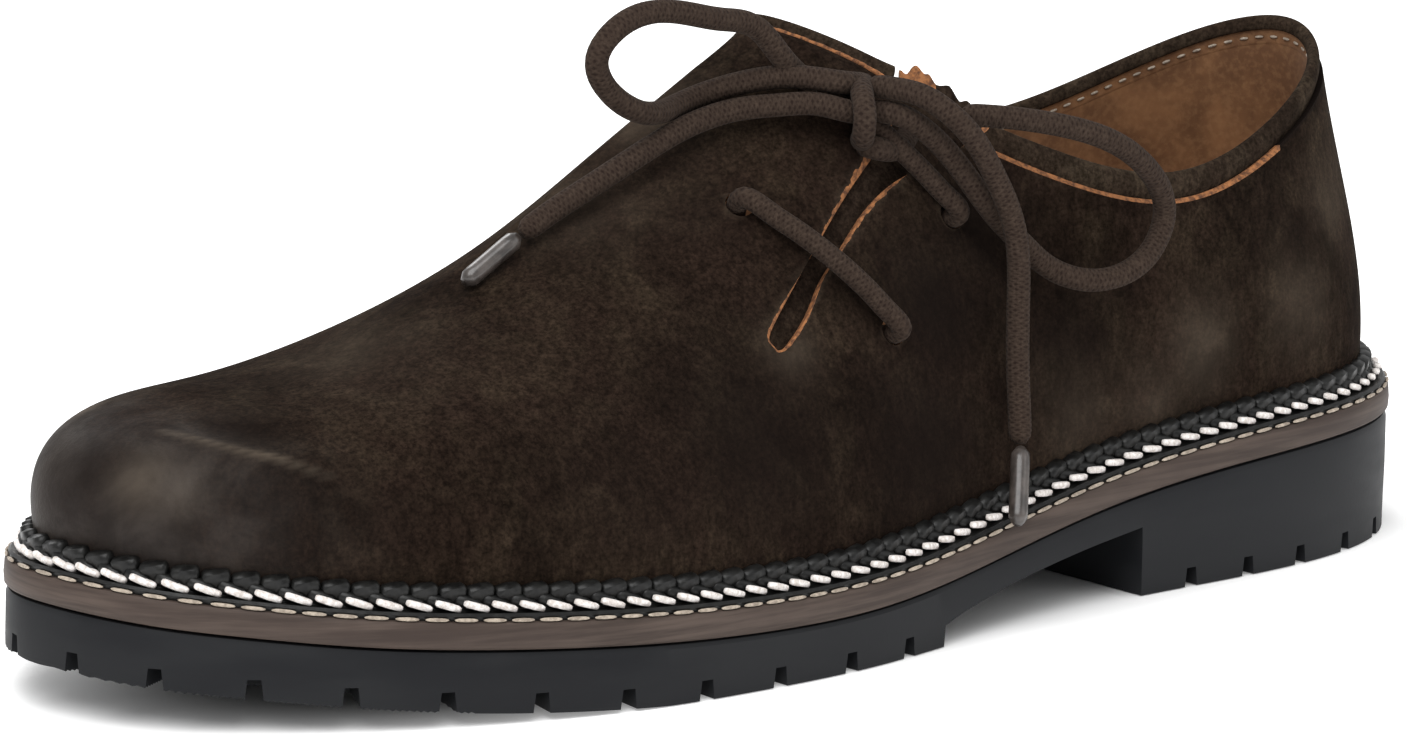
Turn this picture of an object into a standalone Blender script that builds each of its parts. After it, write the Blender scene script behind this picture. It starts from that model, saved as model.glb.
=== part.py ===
"""Haferl shoe, left foot: a hollow upper with a side slit, its tongue and insole, a plaited welt, a midsole and a lugged rubber outsole.

Toe at -X, heel at +X, outer side at -Y, floor at z = 0. Sizes are in metres.
"""

import bmesh
import bpy
import numpy as np
from mathutils import Matrix, Vector
from mathutils.bvhtree import BVHTree

for old in list(bpy.data.objects):
    bpy.data.objects.remove(old, do_unlink=True)

# Driving sizes
LENGTH = 0.303
BALL_WIDTH = 0.1056
INSTEP_HEIGHT = 0.1048
HEEL_STACK = 0.0278
FRONT_STACK = 0.0148
MIDSOLE_THICK = 0.0048
TOE_SPRING = 0.0080
ARCH_STEP = 0.0038
ARCH_RISE = 0.0128
LUG_DEPTH = 0.0035
LUG_REACH = 0.014
NOTCH_WIDE = 0.0036
NOTCH_PITCH = 0.0164
HEEL_PITCH = 0.0150
FRONT_NOTCHES = 22
HEEL_NOTCHES = 11
FRONT_LAST_NOTCH = -0.022
HEEL_FIRST_NOTCH = 0.238
BAR_WIDE = 0.0055
WALL = 0.0020
BAND_HEIGHT = 0.0050
BAND_STEP = 0.0009
FEATHER_INSET = 0.0062
TOE_BULGE = 0.0058
COLLAR_FLARE = 0.0040
SLIT_MOUTH = 0.0120
WELT_HEIGHT = 0.0046
WELT_BED = 0.0014
WELT_STEP = 0.0029
INSOLE_THICK = 0.0030
TONGUE_THICK = 0.0018
LACE = 0.0042
GAP = 0.0003
CORD_GAP = 0.0005
BAR_LIFT = 0.0012
KNOT_CORD = 0.0050
AGLET_WIDE = 0.0036
CUT_REACH = 0.0090
CUT_PAST = 0.0020
INSOLE_GAP = 0.0005

# Sole plan: station as a share of LENGTH from the toe, half widths as shares of BALL_WIDTH
TOE_TIP = 0.092
SOLE_PLAN = [
    # station, outer, inner
    (0.020, 0.133, 0.237),
    (0.060, 0.247, 0.354),
    (0.120, 0.360, 0.435),
    (0.200, 0.451, 0.479),
    (0.280, 0.503, 0.485),
    (0.360, 0.515, 0.460),
    (0.450, 0.500, 0.407),
    (0.550, 0.440, 0.350),
    (0.650, 0.394, 0.322),
    (0.750, 0.384, 0.322),
    (0.850, 0.366, 0.329),
    (0.930, 0.292, 0.280),
    (0.980, 0.165, 0.165),
]

# Sole side view: station, top of the midsole as a share between FRONT_STACK and HEEL_STACK
SOLE_TOP = [
    # station, share
    (0.00, 0.68),
    (0.12, 0.34),
    (0.25, 0.13),
    (0.40, 0.00),
    (0.55, 0.19),
    (0.70, 0.70),
    (0.85, 0.97),
    (1.00, 1.00),
]
SPRING = [
    # station, share of TOE_SPRING
    (0.00, 1.00),
    (0.10, 0.56),
    (0.20, 0.20),
    (0.29, 0.00),
]
FRONT_END = 0.513
HEEL_BREAST = 0.697

# Upper: one row per fold line of the last, from the toe tip to the back of the heel.
# foot: share of the way along the feather line. x: share of LENGTH, y: share of BALL_WIDTH,
# z: share of INSTEP_HEIGHT of the fold's top. low_out: share of TOE_BULGE above the feather,
# low_up: its height share. pull, out, drop: how the fold arrives at its top; out is a share of COLLAR_FLARE.
OUTER_FOLDS = [
    # foot, x, y, z, low_out, low_up, pull, out, drop
    (0.000, -0.3830, 0.060, 0.4820, 1.000, 0.67, 0.93, 0.00, -0.03),
    (0.093, -0.3690, 0.060, 0.4840, 0.966, 0.67, 0.89, 0.00, -0.02),
    (0.186, -0.3320, 0.058, 0.4940, 0.828, 0.66, 0.78, 0.00, -0.01),
    (0.280, -0.2700, 0.057, 0.5520, 0.621, 0.60, 0.64, 0.00, 0.00),
    (0.375, -0.1910, 0.057, 0.6560, 0.448, 0.50, 0.56, 0.00, 0.00),
    (0.468, -0.1060, 0.057, 0.8030, 0.345, 0.46, 0.52, 0.00, 0.00),
    (0.551, 0.0080, 0.057, 0.9900, 0.310, 0.42, 0.48, 0.00, 0.00),
    (0.601, 0.0545, -0.099, 0.9230, 0.310, 0.40, 0.34, 0.50, -0.08),
    (0.651, 0.0840, -0.196, 0.8360, 0.345, 0.38, 0.12, 0.75, -0.24),
    (0.716, 0.1550, -0.270, 0.7350, 0.414, 0.36, 0.00, 0.75, -0.34),
    (0.784, 0.2480, -0.294, 0.6730, 0.483, 0.36, 0.00, 0.75, -0.34),
    (0.856, 0.3370, -0.265, 0.7300, 0.552, 0.36, 0.00, 1.00, -0.34),
    (0.932, 0.4120, -0.168, 0.8200, 0.414, 0.36, 0.00, 0.90, -0.34),
    (1.000, 0.4440, 0.000, 0.8680, 0.414, 0.36, 0.00, 0.90, -0.34),
]
INNER_FOLDS = [
    # foot, x, y, z, low_out, low_up, pull, out, drop
    (0.000, -0.3830, 0.060, 0.4820, 1.000, 0.67, 0.93, 0.00, -0.03),
    (0.093, -0.3690, 0.060, 0.4840, 0.966, 0.67, 0.89, 0.00, -0.02),
    (0.186, -0.3320, 0.058, 0.4940, 0.828, 0.66, 0.78, 0.00, -0.01),
    (0.280, -0.2700, 0.057, 0.5520, 0.621, 0.60, 0.64, 0.00, 0.00),
    (0.375, -0.1910, 0.057, 0.6560, 0.448, 0.50, 0.56, 0.00, 0.00),
    (0.468, -0.1060, 0.057, 0.8030, 0.345, 0.46, 0.52, 0.00, 0.00),
    (0.551, 0.0080, 0.057, 0.9900, 0.310, 0.42, 0.48, 0.00, 0.00),
    (0.601, 0.0410, 0.170, 0.9180, 0.310, 0.40, 0.34, 0.50, -0.08),
    (0.651, 0.0880, 0.243, 0.8220, 0.345, 0.38, 0.12, 0.75, -0.24),
    (0.716, 0.1650, 0.286, 0.7340, 0.414, 0.36, 0.00, 0.75, -0.34),
    (0.784, 0.2540, 0.288, 0.6980, 0.483, 0.36, 0.00, 0.75, -0.34),
    (0.856, 0.3400, 0.252, 0.7520, 0.552, 0.36, 0.00, 1.00, -0.34),
    (0.932, 0.4120, 0.160, 0.8340, 0.414, 0.36, 0.00, 0.90, -0.34),
    (1.000, 0.4440, 0.000, 0.8680, 0.414, 0.36, 0.00, 0.90, -0.34),
]
# Collar band above the raw edge, from the apex to the heel: shares of BAND_HEIGHT
BAND = [
    # back, inward, up
    (0.45, 0.00, 0.60),
    (0.30, 0.28, 0.72),
    (0.18, 0.28, 0.88),
    (0.05, 0.18, 0.98),
    (0.00, 0.12, 1.00),
    (0.00, 0.12, 1.00),
    (-0.05, 0.10, 1.00),
    (-0.12, 0.00, 1.00),
]
# Side slit: its centre line as shares of LENGTH, BALL_WIDTH and INSTEP_HEIGHT, and its half width as a share of SLIT_MOUTH
SLIT = [
    # x, y, z, half_width
    (-0.0845, -0.3352, 0.5280, 0.075),
    (-0.0785, -0.3295, 0.5390, 0.158),
    (-0.0580, -0.3078, 0.5840, 0.192),
    (-0.0400, -0.2860, 0.6290, 0.167),
    (-0.0200, -0.2633, 0.6710, 0.175),
    (0.0060, -0.2358, 0.7260, 0.183),
    (0.0350, -0.2150, 0.7760, 0.250),
    (0.0620, -0.2036, 0.8150, 0.450),
    (0.0800, -0.1856, 0.8500, 0.683),
    (0.1050, -0.1648, 0.9250, 0.917),
    (0.1200, -0.1506, 0.9800, 1.000),
]
# Lace holes, seen from the side
HOLES = {
    # name: (x, z)
    "front_low": (-0.0650, 0.7340),
    "rear_low": (0.0053, 0.5220),
    "rear_high": (0.0743, 0.6880),
    "front_high": (0.0102, 0.9055),
}
HOLE_WIDE = 0.0052
# Tongue under the slit: t is the height share on the folds, then the folds it reaches at the front and the rear
TONGUE = [
    # t, front, rear
    (0.38, 4.30, 5.30),
    (0.47, 4.45, 5.90),
    (0.57, 5.10, 7.00),
    (0.75, 6.10, 7.90),
    (0.90, 7.00, 8.45),
    (1.00, 7.40, 8.60),
]
TONGUE_TIP = 0.0062
TONGUE_GAP = 0.0005
TIP_TOOTH = 0.0011
TIP_CORNER = 0.0035
# Bow: the cord's path as shares of LENGTH, BALL_WIDTH and INSTEP_HEIGHT
BOW = {
    "lace_end_front": [
        # x, y, z
        (0.0054, -0.2014, 0.8779),
        (-0.0063, -0.1779, 0.8877),
        (-0.0267, -0.1429, 0.8877),
        (-0.0475, -0.1096, 0.8814),
        (-0.0767, -0.0801, 0.8576),
        (-0.1091, -0.0627, 0.8143),
        (-0.1335, -0.0442, 0.7740),
        (-0.1572, -0.0239, 0.7336),
        (-0.1809, -0.0089, 0.6925),
    ],
    "lace_end_rear": [
        # x, y, z
        (0.0360, -0.2424, 0.9113),
        (0.0422, -0.2727, 0.9046),
        (0.0508, -0.3068, 0.8817),
        (0.0627, -0.3371, 0.8378),
        (0.0772, -0.3542, 0.7643),
        (0.0858, -0.3655, 0.7052),
        (0.0917, -0.3684, 0.6393),
        (0.0931, -0.3693, 0.5525),
        (0.0917, -0.3778, 0.4332),
        (0.0898, -0.3930, 0.3321),
        (0.0884, -0.3987, 0.3111),
    ],
    "lace_loop_front": [
        # x, y, z
        (0.0045, -0.1773, 0.9244),
        (-0.0099, -0.1402, 0.9303),
        (-0.0389, -0.0852, 0.9208),
        (-0.0644, -0.0464, 0.8960),
        (-0.1132, -0.0758, 0.8884),
        (-0.1389, -0.0758, 0.9351),
        (-0.1488, -0.0852, 0.9885),
        (-0.1333, -0.0947, 1.0429),
        (-0.1007, -0.1042, 1.0582),
        (-0.0640, -0.1089, 1.0372),
        (-0.0352, -0.1070, 1.0151),
        (-0.0204, -0.1184, 0.9673),
    ],
    "lace_loop_rear": [
        # x, y, z
        (0.0363, -0.2386, 0.8674),
        (0.0502, -0.2576, 0.8416),
        (0.0647, -0.2765, 0.7977),
        (0.0772, -0.3049, 0.7385),
        (0.0957, -0.3106, 0.6794),
        (0.1155, -0.3125, 0.6307),
        (0.1304, -0.3229, 0.5935),
        (0.1455, -0.3447, 0.5716),
        (0.1706, -0.3655, 0.5677),
        (0.1967, -0.3731, 0.6021),
        (0.2116, -0.3655, 0.6670),
        (0.1941, -0.3788, 0.7471),
        (0.1617, -0.3741, 0.8101),
        (0.1287, -0.3504, 0.8416),
        (0.0957, -0.3030, 0.8578),
        (0.0752, -0.2708, 0.8626),
    ],
    "lace_knot": [
        # x, y, z
        (0.0207, -0.1918, 0.9210),
        (0.0160, -0.2140, 0.9081),
        (0.0097, -0.2405, 0.8793),
        (0.0057, -0.2519, 0.8479),
        (0.0061, -0.2462, 0.8317),
    ],
    "aglet_front": [
        # x, y, z
        (-0.1831, -0.0091, 0.6881),
        (-0.2217, -0.0070, 0.6216),
    ],
    "aglet_rear": [
        # x, y, z
        (0.0871, -0.4044, 0.3044),
        (0.0627, -0.4773, 0.1947),
    ],
}
APEX = 6
LAST = len(OUTER_FOLDS) - 1
FOLDS_EACH = 4
ROWS = 10


def natural(xs, ys, at):
    """Smooth curve through the points (xs, ys), read at the values at."""
    xs, ys, at = np.asarray(xs, float), np.asarray(ys, float), np.asarray(at, float)
    n = len(xs)
    h = np.diff(xs)
    a = np.zeros((n, n))
    b = np.zeros((n,) + ys.shape[1:])
    a[0, 0] = a[-1, -1] = 1
    for i in range(1, n - 1):
        a[i, i - 1], a[i, i], a[i, i + 1] = h[i - 1], 2 * (h[i - 1] + h[i]), h[i]
        b[i] = 6 * ((ys[i + 1] - ys[i]) / h[i] - (ys[i] - ys[i - 1]) / h[i - 1])
    m = np.linalg.solve(a, b)
    i = np.clip(np.searchsorted(xs, at, side="right") - 1, 0, n - 2)
    shape = at.shape + (1,) * (ys.ndim - 1)
    lo, hi, w = (at - xs[i]).reshape(shape), (xs[i + 1] - at).reshape(shape), h[i].reshape(shape)
    return (
        m[i] * hi**3 / (6 * w)
        + m[i + 1] * lo**3 / (6 * w)
        + (ys[i] / w - m[i] * w / 6) * hi
        + (ys[i + 1] / w - m[i + 1] * w / 6) * lo
    )


def looped(xs, ys, period, at):
    """The same for a closed loop: the points are repeated on both sides of it."""
    xs, ys = np.asarray(xs, float), np.asarray(ys, float)
    wide = np.concatenate([xs - period, xs, xs + period])
    return natural(wide, np.concatenate([ys, ys, ys]), at)


def plan_loop(count=720):
    """Outline of the sole as a closed loop: toe tip, outer side, heel, inner side."""
    points = [(0.0, TOE_TIP)] + [(s, -o) for s, o, _ in SOLE_PLAN]
    points += [(1.0, 0.0)] + [(s, i) for s, _, i in reversed(SOLE_PLAN)]
    points = np.array([((s - 0.5) * LENGTH, w * BALL_WIDTH) for s, w in points])
    steps = np.linalg.norm(np.roll(points, -1, axis=0) - points, axis=1) ** 0.5
    at = np.concatenate([[0], np.cumsum(steps)])
    t = np.linspace(0, at[-1], count, endpoint=False)
    return looped(at[:-1], points, at[-1], t)


PLAN = plan_loop()
TANGENT = np.roll(PLAN, -1, axis=0) - np.roll(PLAN, 1, axis=0)
TANGENT /= np.linalg.norm(TANGENT, axis=1)[:, None]
OUTWARD = np.stack([TANGENT[:, 1], -TANGENT[:, 0]], axis=1)
if (OUTWARD * PLAN).sum() < 0:
    OUTWARD = -OUTWARD
HEEL_AT = int(np.argmax(PLAN[:, 0]))


def inset(distance):
    return PLAN - OUTWARD * distance


def side_points(loop, side, shares):
    """Points and outward directions on one side of a loop, at shares of the way from toe tip to heel."""
    order = np.arange(HEEL_AT + 1) if side < 0 else np.arange(len(loop), HEEL_AT - 1, -1) % len(loop)
    line = loop[order]
    run = np.concatenate([[0], np.cumsum(np.linalg.norm(np.diff(line, axis=0), axis=1))])
    run /= run[-1]
    found = np.stack([np.interp(shares, run, line[:, i]) for i in (0, 1)], axis=1)
    out = np.stack([np.interp(shares, run, OUTWARD[order][:, i]) for i in (0, 1)], axis=1)
    return found, out / np.linalg.norm(out, axis=1)[:, None]


def station(x):
    return np.clip(np.asarray(x) / LENGTH + 0.5, 0, 1)


def sole_top(x):
    at, share = zip(*SOLE_TOP)
    return FRONT_STACK + (HEEL_STACK - FRONT_STACK) * natural(at, share, station(x))


def sole_bottom(x, part):
    """Underside before the lugs are cut: part is front, arch or heel."""
    if part == "heel":
        return np.zeros_like(np.asarray(x, float))
    if part == "arch":
        share = (station(x) - FRONT_END) / (HEEL_BREAST - FRONT_END)
        return ARCH_STEP + (ARCH_RISE - ARCH_STEP) * share**0.8
    at, share = zip(*SPRING)
    rise = natural(at, share, np.clip(station(x), 0, at[-1]))
    return TOE_SPRING * np.maximum(rise, 0) * (station(x) < at[-1])


def fold_values(k):
    """Every column of both fold tables at the positions k, smooth across the toe and the heel."""
    outer, inner = np.array(OUTER_FOLDS), np.array(INNER_FOLDS)
    rows = np.concatenate([outer, inner[-2:0:-1]])
    at = np.arange(len(rows))
    shape = np.concatenate([rows[:, :1], rows[:, 4:]], axis=1)
    # foot shares run on across the joins, so that they too stay smooth
    shape[:, 0] = np.where(at > LAST, 2 - shape[:, 0], shape[:, 0])
    lap = shape.copy()
    wide = np.concatenate([lap, lap, lap])
    wide[: len(rows), 0] -= 2
    wide[2 * len(rows) :, 0] += 2
    wide_at = np.concatenate([at - len(rows), at, at + len(rows)])
    left = natural(wide_at, wide, k)
    right = natural(wide_at, wide, len(rows) - np.asarray(k, float))
    right[:, 0] = 2 - right[:, 0]
    # tops: the ridge up to the apex, then the loop of the collar
    ridge = natural(np.arange(APEX + 1), outer[: APEX + 1, 1:4], np.minimum(k, APEX))
    collar = np.concatenate([outer[APEX:, 1:4], inner[-2:APEX:-1, 1:4]])
    count = len(collar)
    past = np.maximum(np.asarray(k, float) - APEX, 0)
    top_left = looped(np.arange(count), collar, count, past)
    top_right = looped(np.arange(count), collar, count, (count - past) % count)
    opened = (np.asarray(k) > APEX)[:, None]
    return (
        (left, np.where(opened, top_left, ridge)),
        (right, np.where(opened, top_right, ridge)),
    )


def fold_lines(k, side):
    """The four control points of each fold, as arrays of (x, y, z)."""
    shape, top = fold_values(k)[0 if side < 0 else 1]
    foot_xy, out = side_points(inset(FEATHER_INSET), side, np.clip(shape[:, 0], 0, 1))
    foot = np.column_stack([foot_xy, sole_top(foot_xy[:, 0]) + GAP])
    end = top * (LENGTH, BALL_WIDTH, INSTEP_HEIGHT)
    out = np.column_stack([out, np.zeros(len(out))])
    high = (end - foot)[:, 2:]
    low_out, low_up, pull, wide, drop = (shape[:, i : i + 1] for i in range(1, 6))
    up = np.array([[0, 0, 1.0]])
    low = foot + out * low_out * TOE_BULGE + up * high * low_up
    flat = (foot - end) * (1, 1, 0)
    near = end + flat * pull + out * wide * COLLAR_FLARE + up * high * drop
    return foot, low, near, end


def upper_points(k, t, side):
    """Points of the upper's outer face: k picks the fold, t runs from the feather line to its top."""
    p = fold_lines(k, side)
    t = np.asarray(t, float)[None, :, None]
    a, b, c, d = (q[:, None, :] for q in p)
    return (1 - t) ** 3 * a + 3 * (1 - t) ** 2 * t * b + 3 * (1 - t) * t**2 * c + t**3 * d


def mesh_object(name, points, faces):
    mesh = bpy.data.meshes.new(name)
    mesh.from_pydata([tuple(p) for p in points], [], [tuple(f) for f in faces])
    mesh.update()
    made = bpy.data.objects.new(name, mesh)
    bpy.context.scene.collection.objects.link(made)
    return made


def vertex_normals(points, faces):
    normals = np.zeros_like(points)
    for f in faces:
        p = points[list(f)]
        n = np.cross(p[1] - p[0], p[2] - p[0])
        if len(f) == 4:
            n = n + np.cross(p[2] - p[0], p[3] - p[0])
        for i in f:
            normals[i] += n
    return normals / np.linalg.norm(normals, axis=1)[:, None]


def upper_grid(each=FOLDS_EACH, rows=ROWS):
    """Outer face of the upper: points, quads, the index of each column's vertices, and the collar loop."""
    k = np.linspace(0, LAST, LAST * each + 1)
    t = np.linspace(0, 1, rows + 1)
    apex = APEX * each
    left, right = upper_points(k, t, -1), upper_points(k, t, 1)
    points, index = [], {}

    def add(side, i, j, p):
        points.append(p)
        index[side, i, j] = len(points) - 1

    for i in range(len(k)):
        for j in range(rows + 1):
            add(-1, i, j, left[i, j])
            if i in (0, len(k) - 1) or (j == rows and i <= apex):
                index[1, i, j] = index[-1, i, j]
            else:
                add(1, i, j, right[i, j])
    faces = []
    for i in range(len(k) - 1):
        for j in range(rows):
            for side in (-1, 1):
                quad = [index[side, a, b] for a, b in ((i, j), (i + 1, j), (i + 1, j + 1), (i, j + 1))]
                faces.append(quad if side < 0 else quad[::-1])
    collar = [index[-1, i, rows] for i in range(apex, len(k))]
    collar += [index[1, i, rows] for i in range(len(k) - 2, apex, -1)]
    feather = [index[-1, i, 0] for i in range(len(k))] + [index[1, i, 0] for i in range(len(k) - 2, 0, -1)]
    return np.array(points), faces, collar, feather


def band_rise(each):
    """How far the rim of the collar stands from its raw edge, all round the collar loop."""
    k = np.linspace(0, LAST - APEX, (LAST - APEX) * each + 1)
    rise = natural(np.arange(len(BAND)), np.array(BAND), k) * BAND_HEIGHT
    outer, inner = rise.copy(), rise[-2:0:-1] * (1, -1, 1)
    return np.concatenate([outer, inner])


def make_upper():
    points, faces, collar, feather = upper_grid()
    normals = vertex_normals(points, faces)
    count = len(points)
    inner = points - normals * WALL
    for i, a in enumerate(feather):
        flat = normals[a] * (1, 1, 0)
        flat /= np.linalg.norm(flat)
        inner[a] = points[a] - flat * WALL
    loop = np.array(collar)
    rim = points[loop] + band_rise(FOLDS_EACH)
    step = points[loop] - normals[loop] * BAND_STEP
    rim = rim - normals[loop] * BAND_STEP
    rim_in = rim - normals[loop] * (WALL - BAND_STEP)
    n = len(loop)
    every = np.concatenate([points, inner, step, rim, rim_in])
    quads = list(faces) + [[v + count for v in f[::-1]] for f in faces]
    rings = [loop, 2 * count + np.arange(n), 2 * count + n + np.arange(n), 2 * count + 2 * n + np.arange(n), loop + count]
    for a, b in zip(rings, rings[1:]):
        for i in range(n):
            j = (i + 1) % n
            quads.append([a[i], a[j], b[j], b[i]])
    m = len(feather)
    for i in range(m):
        j = (i + 1) % m
        quads.append([feather[j], feather[i], feather[i] + count, feather[j] + count])
    return mesh_object("upper", every, quads)


def strip_solid(name, rings, cap=False):
    """Closed ring or capped tube through equal loops of points."""
    points = np.concatenate(rings)
    m, n = len(rings), len(rings[0])
    faces = []
    for a in range(m - 1 if cap else m):
        b = (a + 1) % m
        for i in range(n):
            j = (i + 1) % n
            faces.append([a * n + i, a * n + j, b * n + j, b * n + i])
    if cap:
        faces += [list(range(n))[::-1], [(m - 1) * n + i for i in range(n)]]
    return mesh_object(name, points, faces)


def spans(loop, xs):
    """Where lines across the shoe at xs meet a plan loop: the outer and inner y."""
    ends = []
    for x in xs:
        a, b = loop, np.roll(loop, -1, axis=0)
        hit = (a[:, 0] - x) * (b[:, 0] - x) <= 0
        w = (x - a[hit, 0]) / np.where(b[hit, 0] == a[hit, 0], 1, b[hit, 0] - a[hit, 0])
        y = a[hit, 1] + w * (b[hit, 1] - a[hit, 1])
        ends.append((y.min(), y.max()))
    return np.array(ends)


def slab(name, loop, xs, top, bottom, across=4):
    """Solid between two heights over the plan loop, in strips across the shoe at xs."""
    ys = spans(loop, np.clip(xs, loop[:, 0].min() + 1e-5, loop[:, 0].max() - 1e-5))
    share = np.linspace(0, 1, across + 1)
    grid = np.array([[(x, a + (b - a) * s) for s in share] for x, (a, b) in zip(xs, ys)])
    high = np.dstack([grid, np.repeat(np.asarray(top)[:, None], across + 1, axis=1)])
    low = np.dstack([grid, np.repeat(np.asarray(bottom)[:, None], across + 1, axis=1)])
    n, w = len(xs), across + 1
    points = np.concatenate([high.reshape(-1, 3), low.reshape(-1, 3)])
    base = n * w
    faces = []
    for i in range(n - 1):
        for j in range(across):
            quad = [i * w + j, (i + 1) * w + j, (i + 1) * w + j + 1, i * w + j + 1]
            faces.append(quad)
            faces.append([base + v for v in quad[::-1]])
        faces.append([i * w, base + i * w, base + (i + 1) * w, (i + 1) * w])
        e = i * w + across
        faces.append([e, e + w, base + e + w, base + e])
    for i, turn in ((0, 1), (n - 1, -1)):
        for j in range(across):
            quad = [i * w + j, i * w + j + 1, base + i * w + j + 1, base + i * w + j]
            faces.append(quad[::turn])
    return mesh_object(name, points, faces)


def eased(start, end, count):
    """Stations from start to end, closer together at the rounded ends."""
    angle = np.linspace(0, np.pi, count)
    return start + (end - start) * (1 - np.cos(angle)) / 2


def make_outsole():
    loop = inset(0.0002)
    ends = loop[:, 0].min(), loop[:, 0].max()
    breaks = ((FRONT_END - 0.5) * LENGTH, (HEEL_BREAST - 0.5) * LENGTH)
    stations = eased(ends[0], ends[1], 57)
    xs, low = [], []
    for name, a, b in (("front", ends[0], breaks[0]), ("arch", breaks[0], breaks[1]), ("heel", breaks[1], ends[1])):
        inside = stations[(stations > a + 0.0012) & (stations < b - 0.0012)]
        lean = 0.0004
        run = np.concatenate([[a + (lean if name != "front" else 0)], inside, [b - (lean if name != "heel" else 0)]])
        xs.append(run)
        low.append(sole_bottom(run, name))
    xs, low = np.concatenate(xs), np.concatenate(low)
    return slab("outsole", loop, xs, sole_top(xs) - MIDSOLE_THICK - GAP, low, across=1)


def prism(name, bottoms, tops):
    """Joins closed blocks, each between a lower and an upper quadrilateral, into one cutter."""
    points, faces = [], []
    for low, high in zip(bottoms, tops):
        n = len(points)
        points += list(low) + list(high)
        faces += [[n + 3, n + 2, n + 1, n], [n + 4, n + 5, n + 6, n + 7]]
        faces += [[n + i, n + (i + 1) % 4, n + 4 + (i + 1) % 4, n + 4 + i] for i in range(4)]
    return mesh_object(name, points, faces)


def side_notches():
    """Notches of the tread's edge, evenly spaced round the front sole and round the heel."""
    step = np.linalg.norm(np.roll(PLAN, -1, axis=0) - PLAN, axis=1)
    run = np.concatenate([[0], np.cumsum(step)])[:-1]
    around = step.sum()
    outer = PLAN[: HEEL_AT + 1]
    start = np.interp(FRONT_LAST_NOTCH * LENGTH, outer[:, 0][outer[:, 0] > -0.1], run[: HEEL_AT + 1][outer[:, 0] > -0.1])
    first = np.interp(HEEL_FIRST_NOTCH * LENGTH, outer[:, 0][outer[:, 0] > -0.1], run[: HEEL_AT + 1][outer[:, 0] > -0.1])
    at = [start - NOTCH_PITCH * i for i in range(FRONT_NOTCHES)]
    at += [first + HEEL_PITCH * i for i in range(HEEL_NOTCHES)]
    lows, highs = [], []
    for s in at:
        i = int(np.searchsorted(run, s % around)) % len(PLAN)
        place, out, along = PLAN[i], OUTWARD[i], TANGENT[i]
        heel = place[0] > 0.04
        floor = 0.0 if heel else float(sole_bottom(np.array([place[0]]), "front")[0])
        inner = 0.0 if heel else float(sole_bottom(np.array([(place - out * LUG_REACH)[0]]), "front")[0])
        low, high = [], []
        for reach, z in ((2 * CUT_PAST, floor), (-LUG_REACH, inner)):
            for half, up, store in ((NOTCH_WIDE / 2, -CUT_PAST, low), (NOTCH_WIDE * 0.34, LUG_DEPTH, high)):
                ends = [(place + out * reach + along * h, z + up) for h in (-half, half)]
                store += [(*p, q) for p, q in (ends if reach > 0 else ends[::-1])]
        lows.append(low)
        highs.append(high)
    return prism("notch_cutter", lows, highs)


def tread_pockets():
    """Pockets between the cross bars in the middle of the tread."""
    lows, highs = [], []
    for start, end, count, rim in ((-0.345, -0.015, 6, 0.021), (0.232, 0.430, 3, 0.021)):
        loop = inset(rim)
        edges = np.linspace(start * LENGTH, end * LENGTH, count + 1)
        for a, b in zip(edges, edges[1:]):
            xs = np.array([a + BAR_WIDE / 2, b - BAR_WIDE / 2])
            (y0, y1), (y2, y3) = spans(loop, xs)
            corners = [(xs[0], y0), (xs[1], y2), (xs[1], y3), (xs[0], y1)]
            lows.append([(x, y, -CUT_PAST) for x, y in corners])
            highs.append([(x, y, LUG_DEPTH + (0.0 if a > 0 else float(sole_bottom(np.array([x]), "front")[0]))) for x, y in corners])
    return prism("pocket_cutter", lows, highs)


def make_midsole():
    loop = inset(0.0)
    xs = eased(loop[:, 0].min(), loop[:, 0].max(), 57)
    return slab("midsole", loop, xs, sole_top(xs), sole_top(xs) - MIDSOLE_THICK, across=1)


def make_insole():
    loop = inset(FEATHER_INSET + WALL + INSOLE_GAP)
    xs = eased(loop[:, 0].min(), loop[:, 0].max(), 41)
    low = sole_top(xs) + GAP
    return slab("insole", loop, xs, low + INSOLE_THICK, low, across=1)


def make_welt(each=4):
    """Plaited welt: a stitched bed by the sole's edge and a taller strip that leans on the upper."""
    k = np.linspace(0, LAST, LAST * each + 1)
    rings = []
    for side in (-1, 1):
        line = upper_points(k, np.linspace(0, 0.4, 9), side)
        foot, out = side_points(inset(FEATHER_INSET), side, np.clip(fold_values(k)[0 if side < 0 else 1][0][:, 0], 0, 1))
        count = len(k)
        for i in range(count) if side < 0 else range(count - 2, 0, -1):
            base = line[i, 0, 2] - GAP
            n = np.array([out[i, 0], out[i, 1], 0])
            lean = ((line[i] - line[i, 0]) * n).sum(axis=1)
            def wall_at(height):
                return np.interp(base + height, line[i, :, 2], lean)
            start = np.array([foot[i, 0], foot[i, 1], 0])
            edge = FEATHER_INSET - 0.0009
            section = [
                (edge, GAP + 0.0001),
                (edge, WELT_BED),
                (WELT_STEP, WELT_BED),
                (wall_at(WELT_HEIGHT) + 0.0010, WELT_HEIGHT),
                (wall_at(WELT_HEIGHT) + GAP + 0.0001, WELT_HEIGHT),
                (wall_at(WELT_HEIGHT * 0.5) + GAP + 0.0001, WELT_HEIGHT * 0.5),
                (wall_at(0) + GAP + 0.0002, GAP),
            ]
            ring = np.array([start + n * w for w, _ in section])
            ring[:, 2] = sole_top(ring[:, 0]) + [h for _, h in section]
            rings.append(ring)
    return strip_solid("welt", rings)



def surface_finder(upper):
    """A ray from the outer side onto the uncut upper: the point and its normal, for a spot seen from the side."""
    mesh = upper.data
    tree = BVHTree.FromPolygons([v.co for v in mesh.vertices], [tuple(p.vertices) for p in mesh.polygons])

    def find(x, z):
        hit = tree.ray_cast(Vector((x, -0.2, z)), Vector((0, 1, 0)))
        return np.array(hit[0]), np.array(hit[1])

    return find


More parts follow.
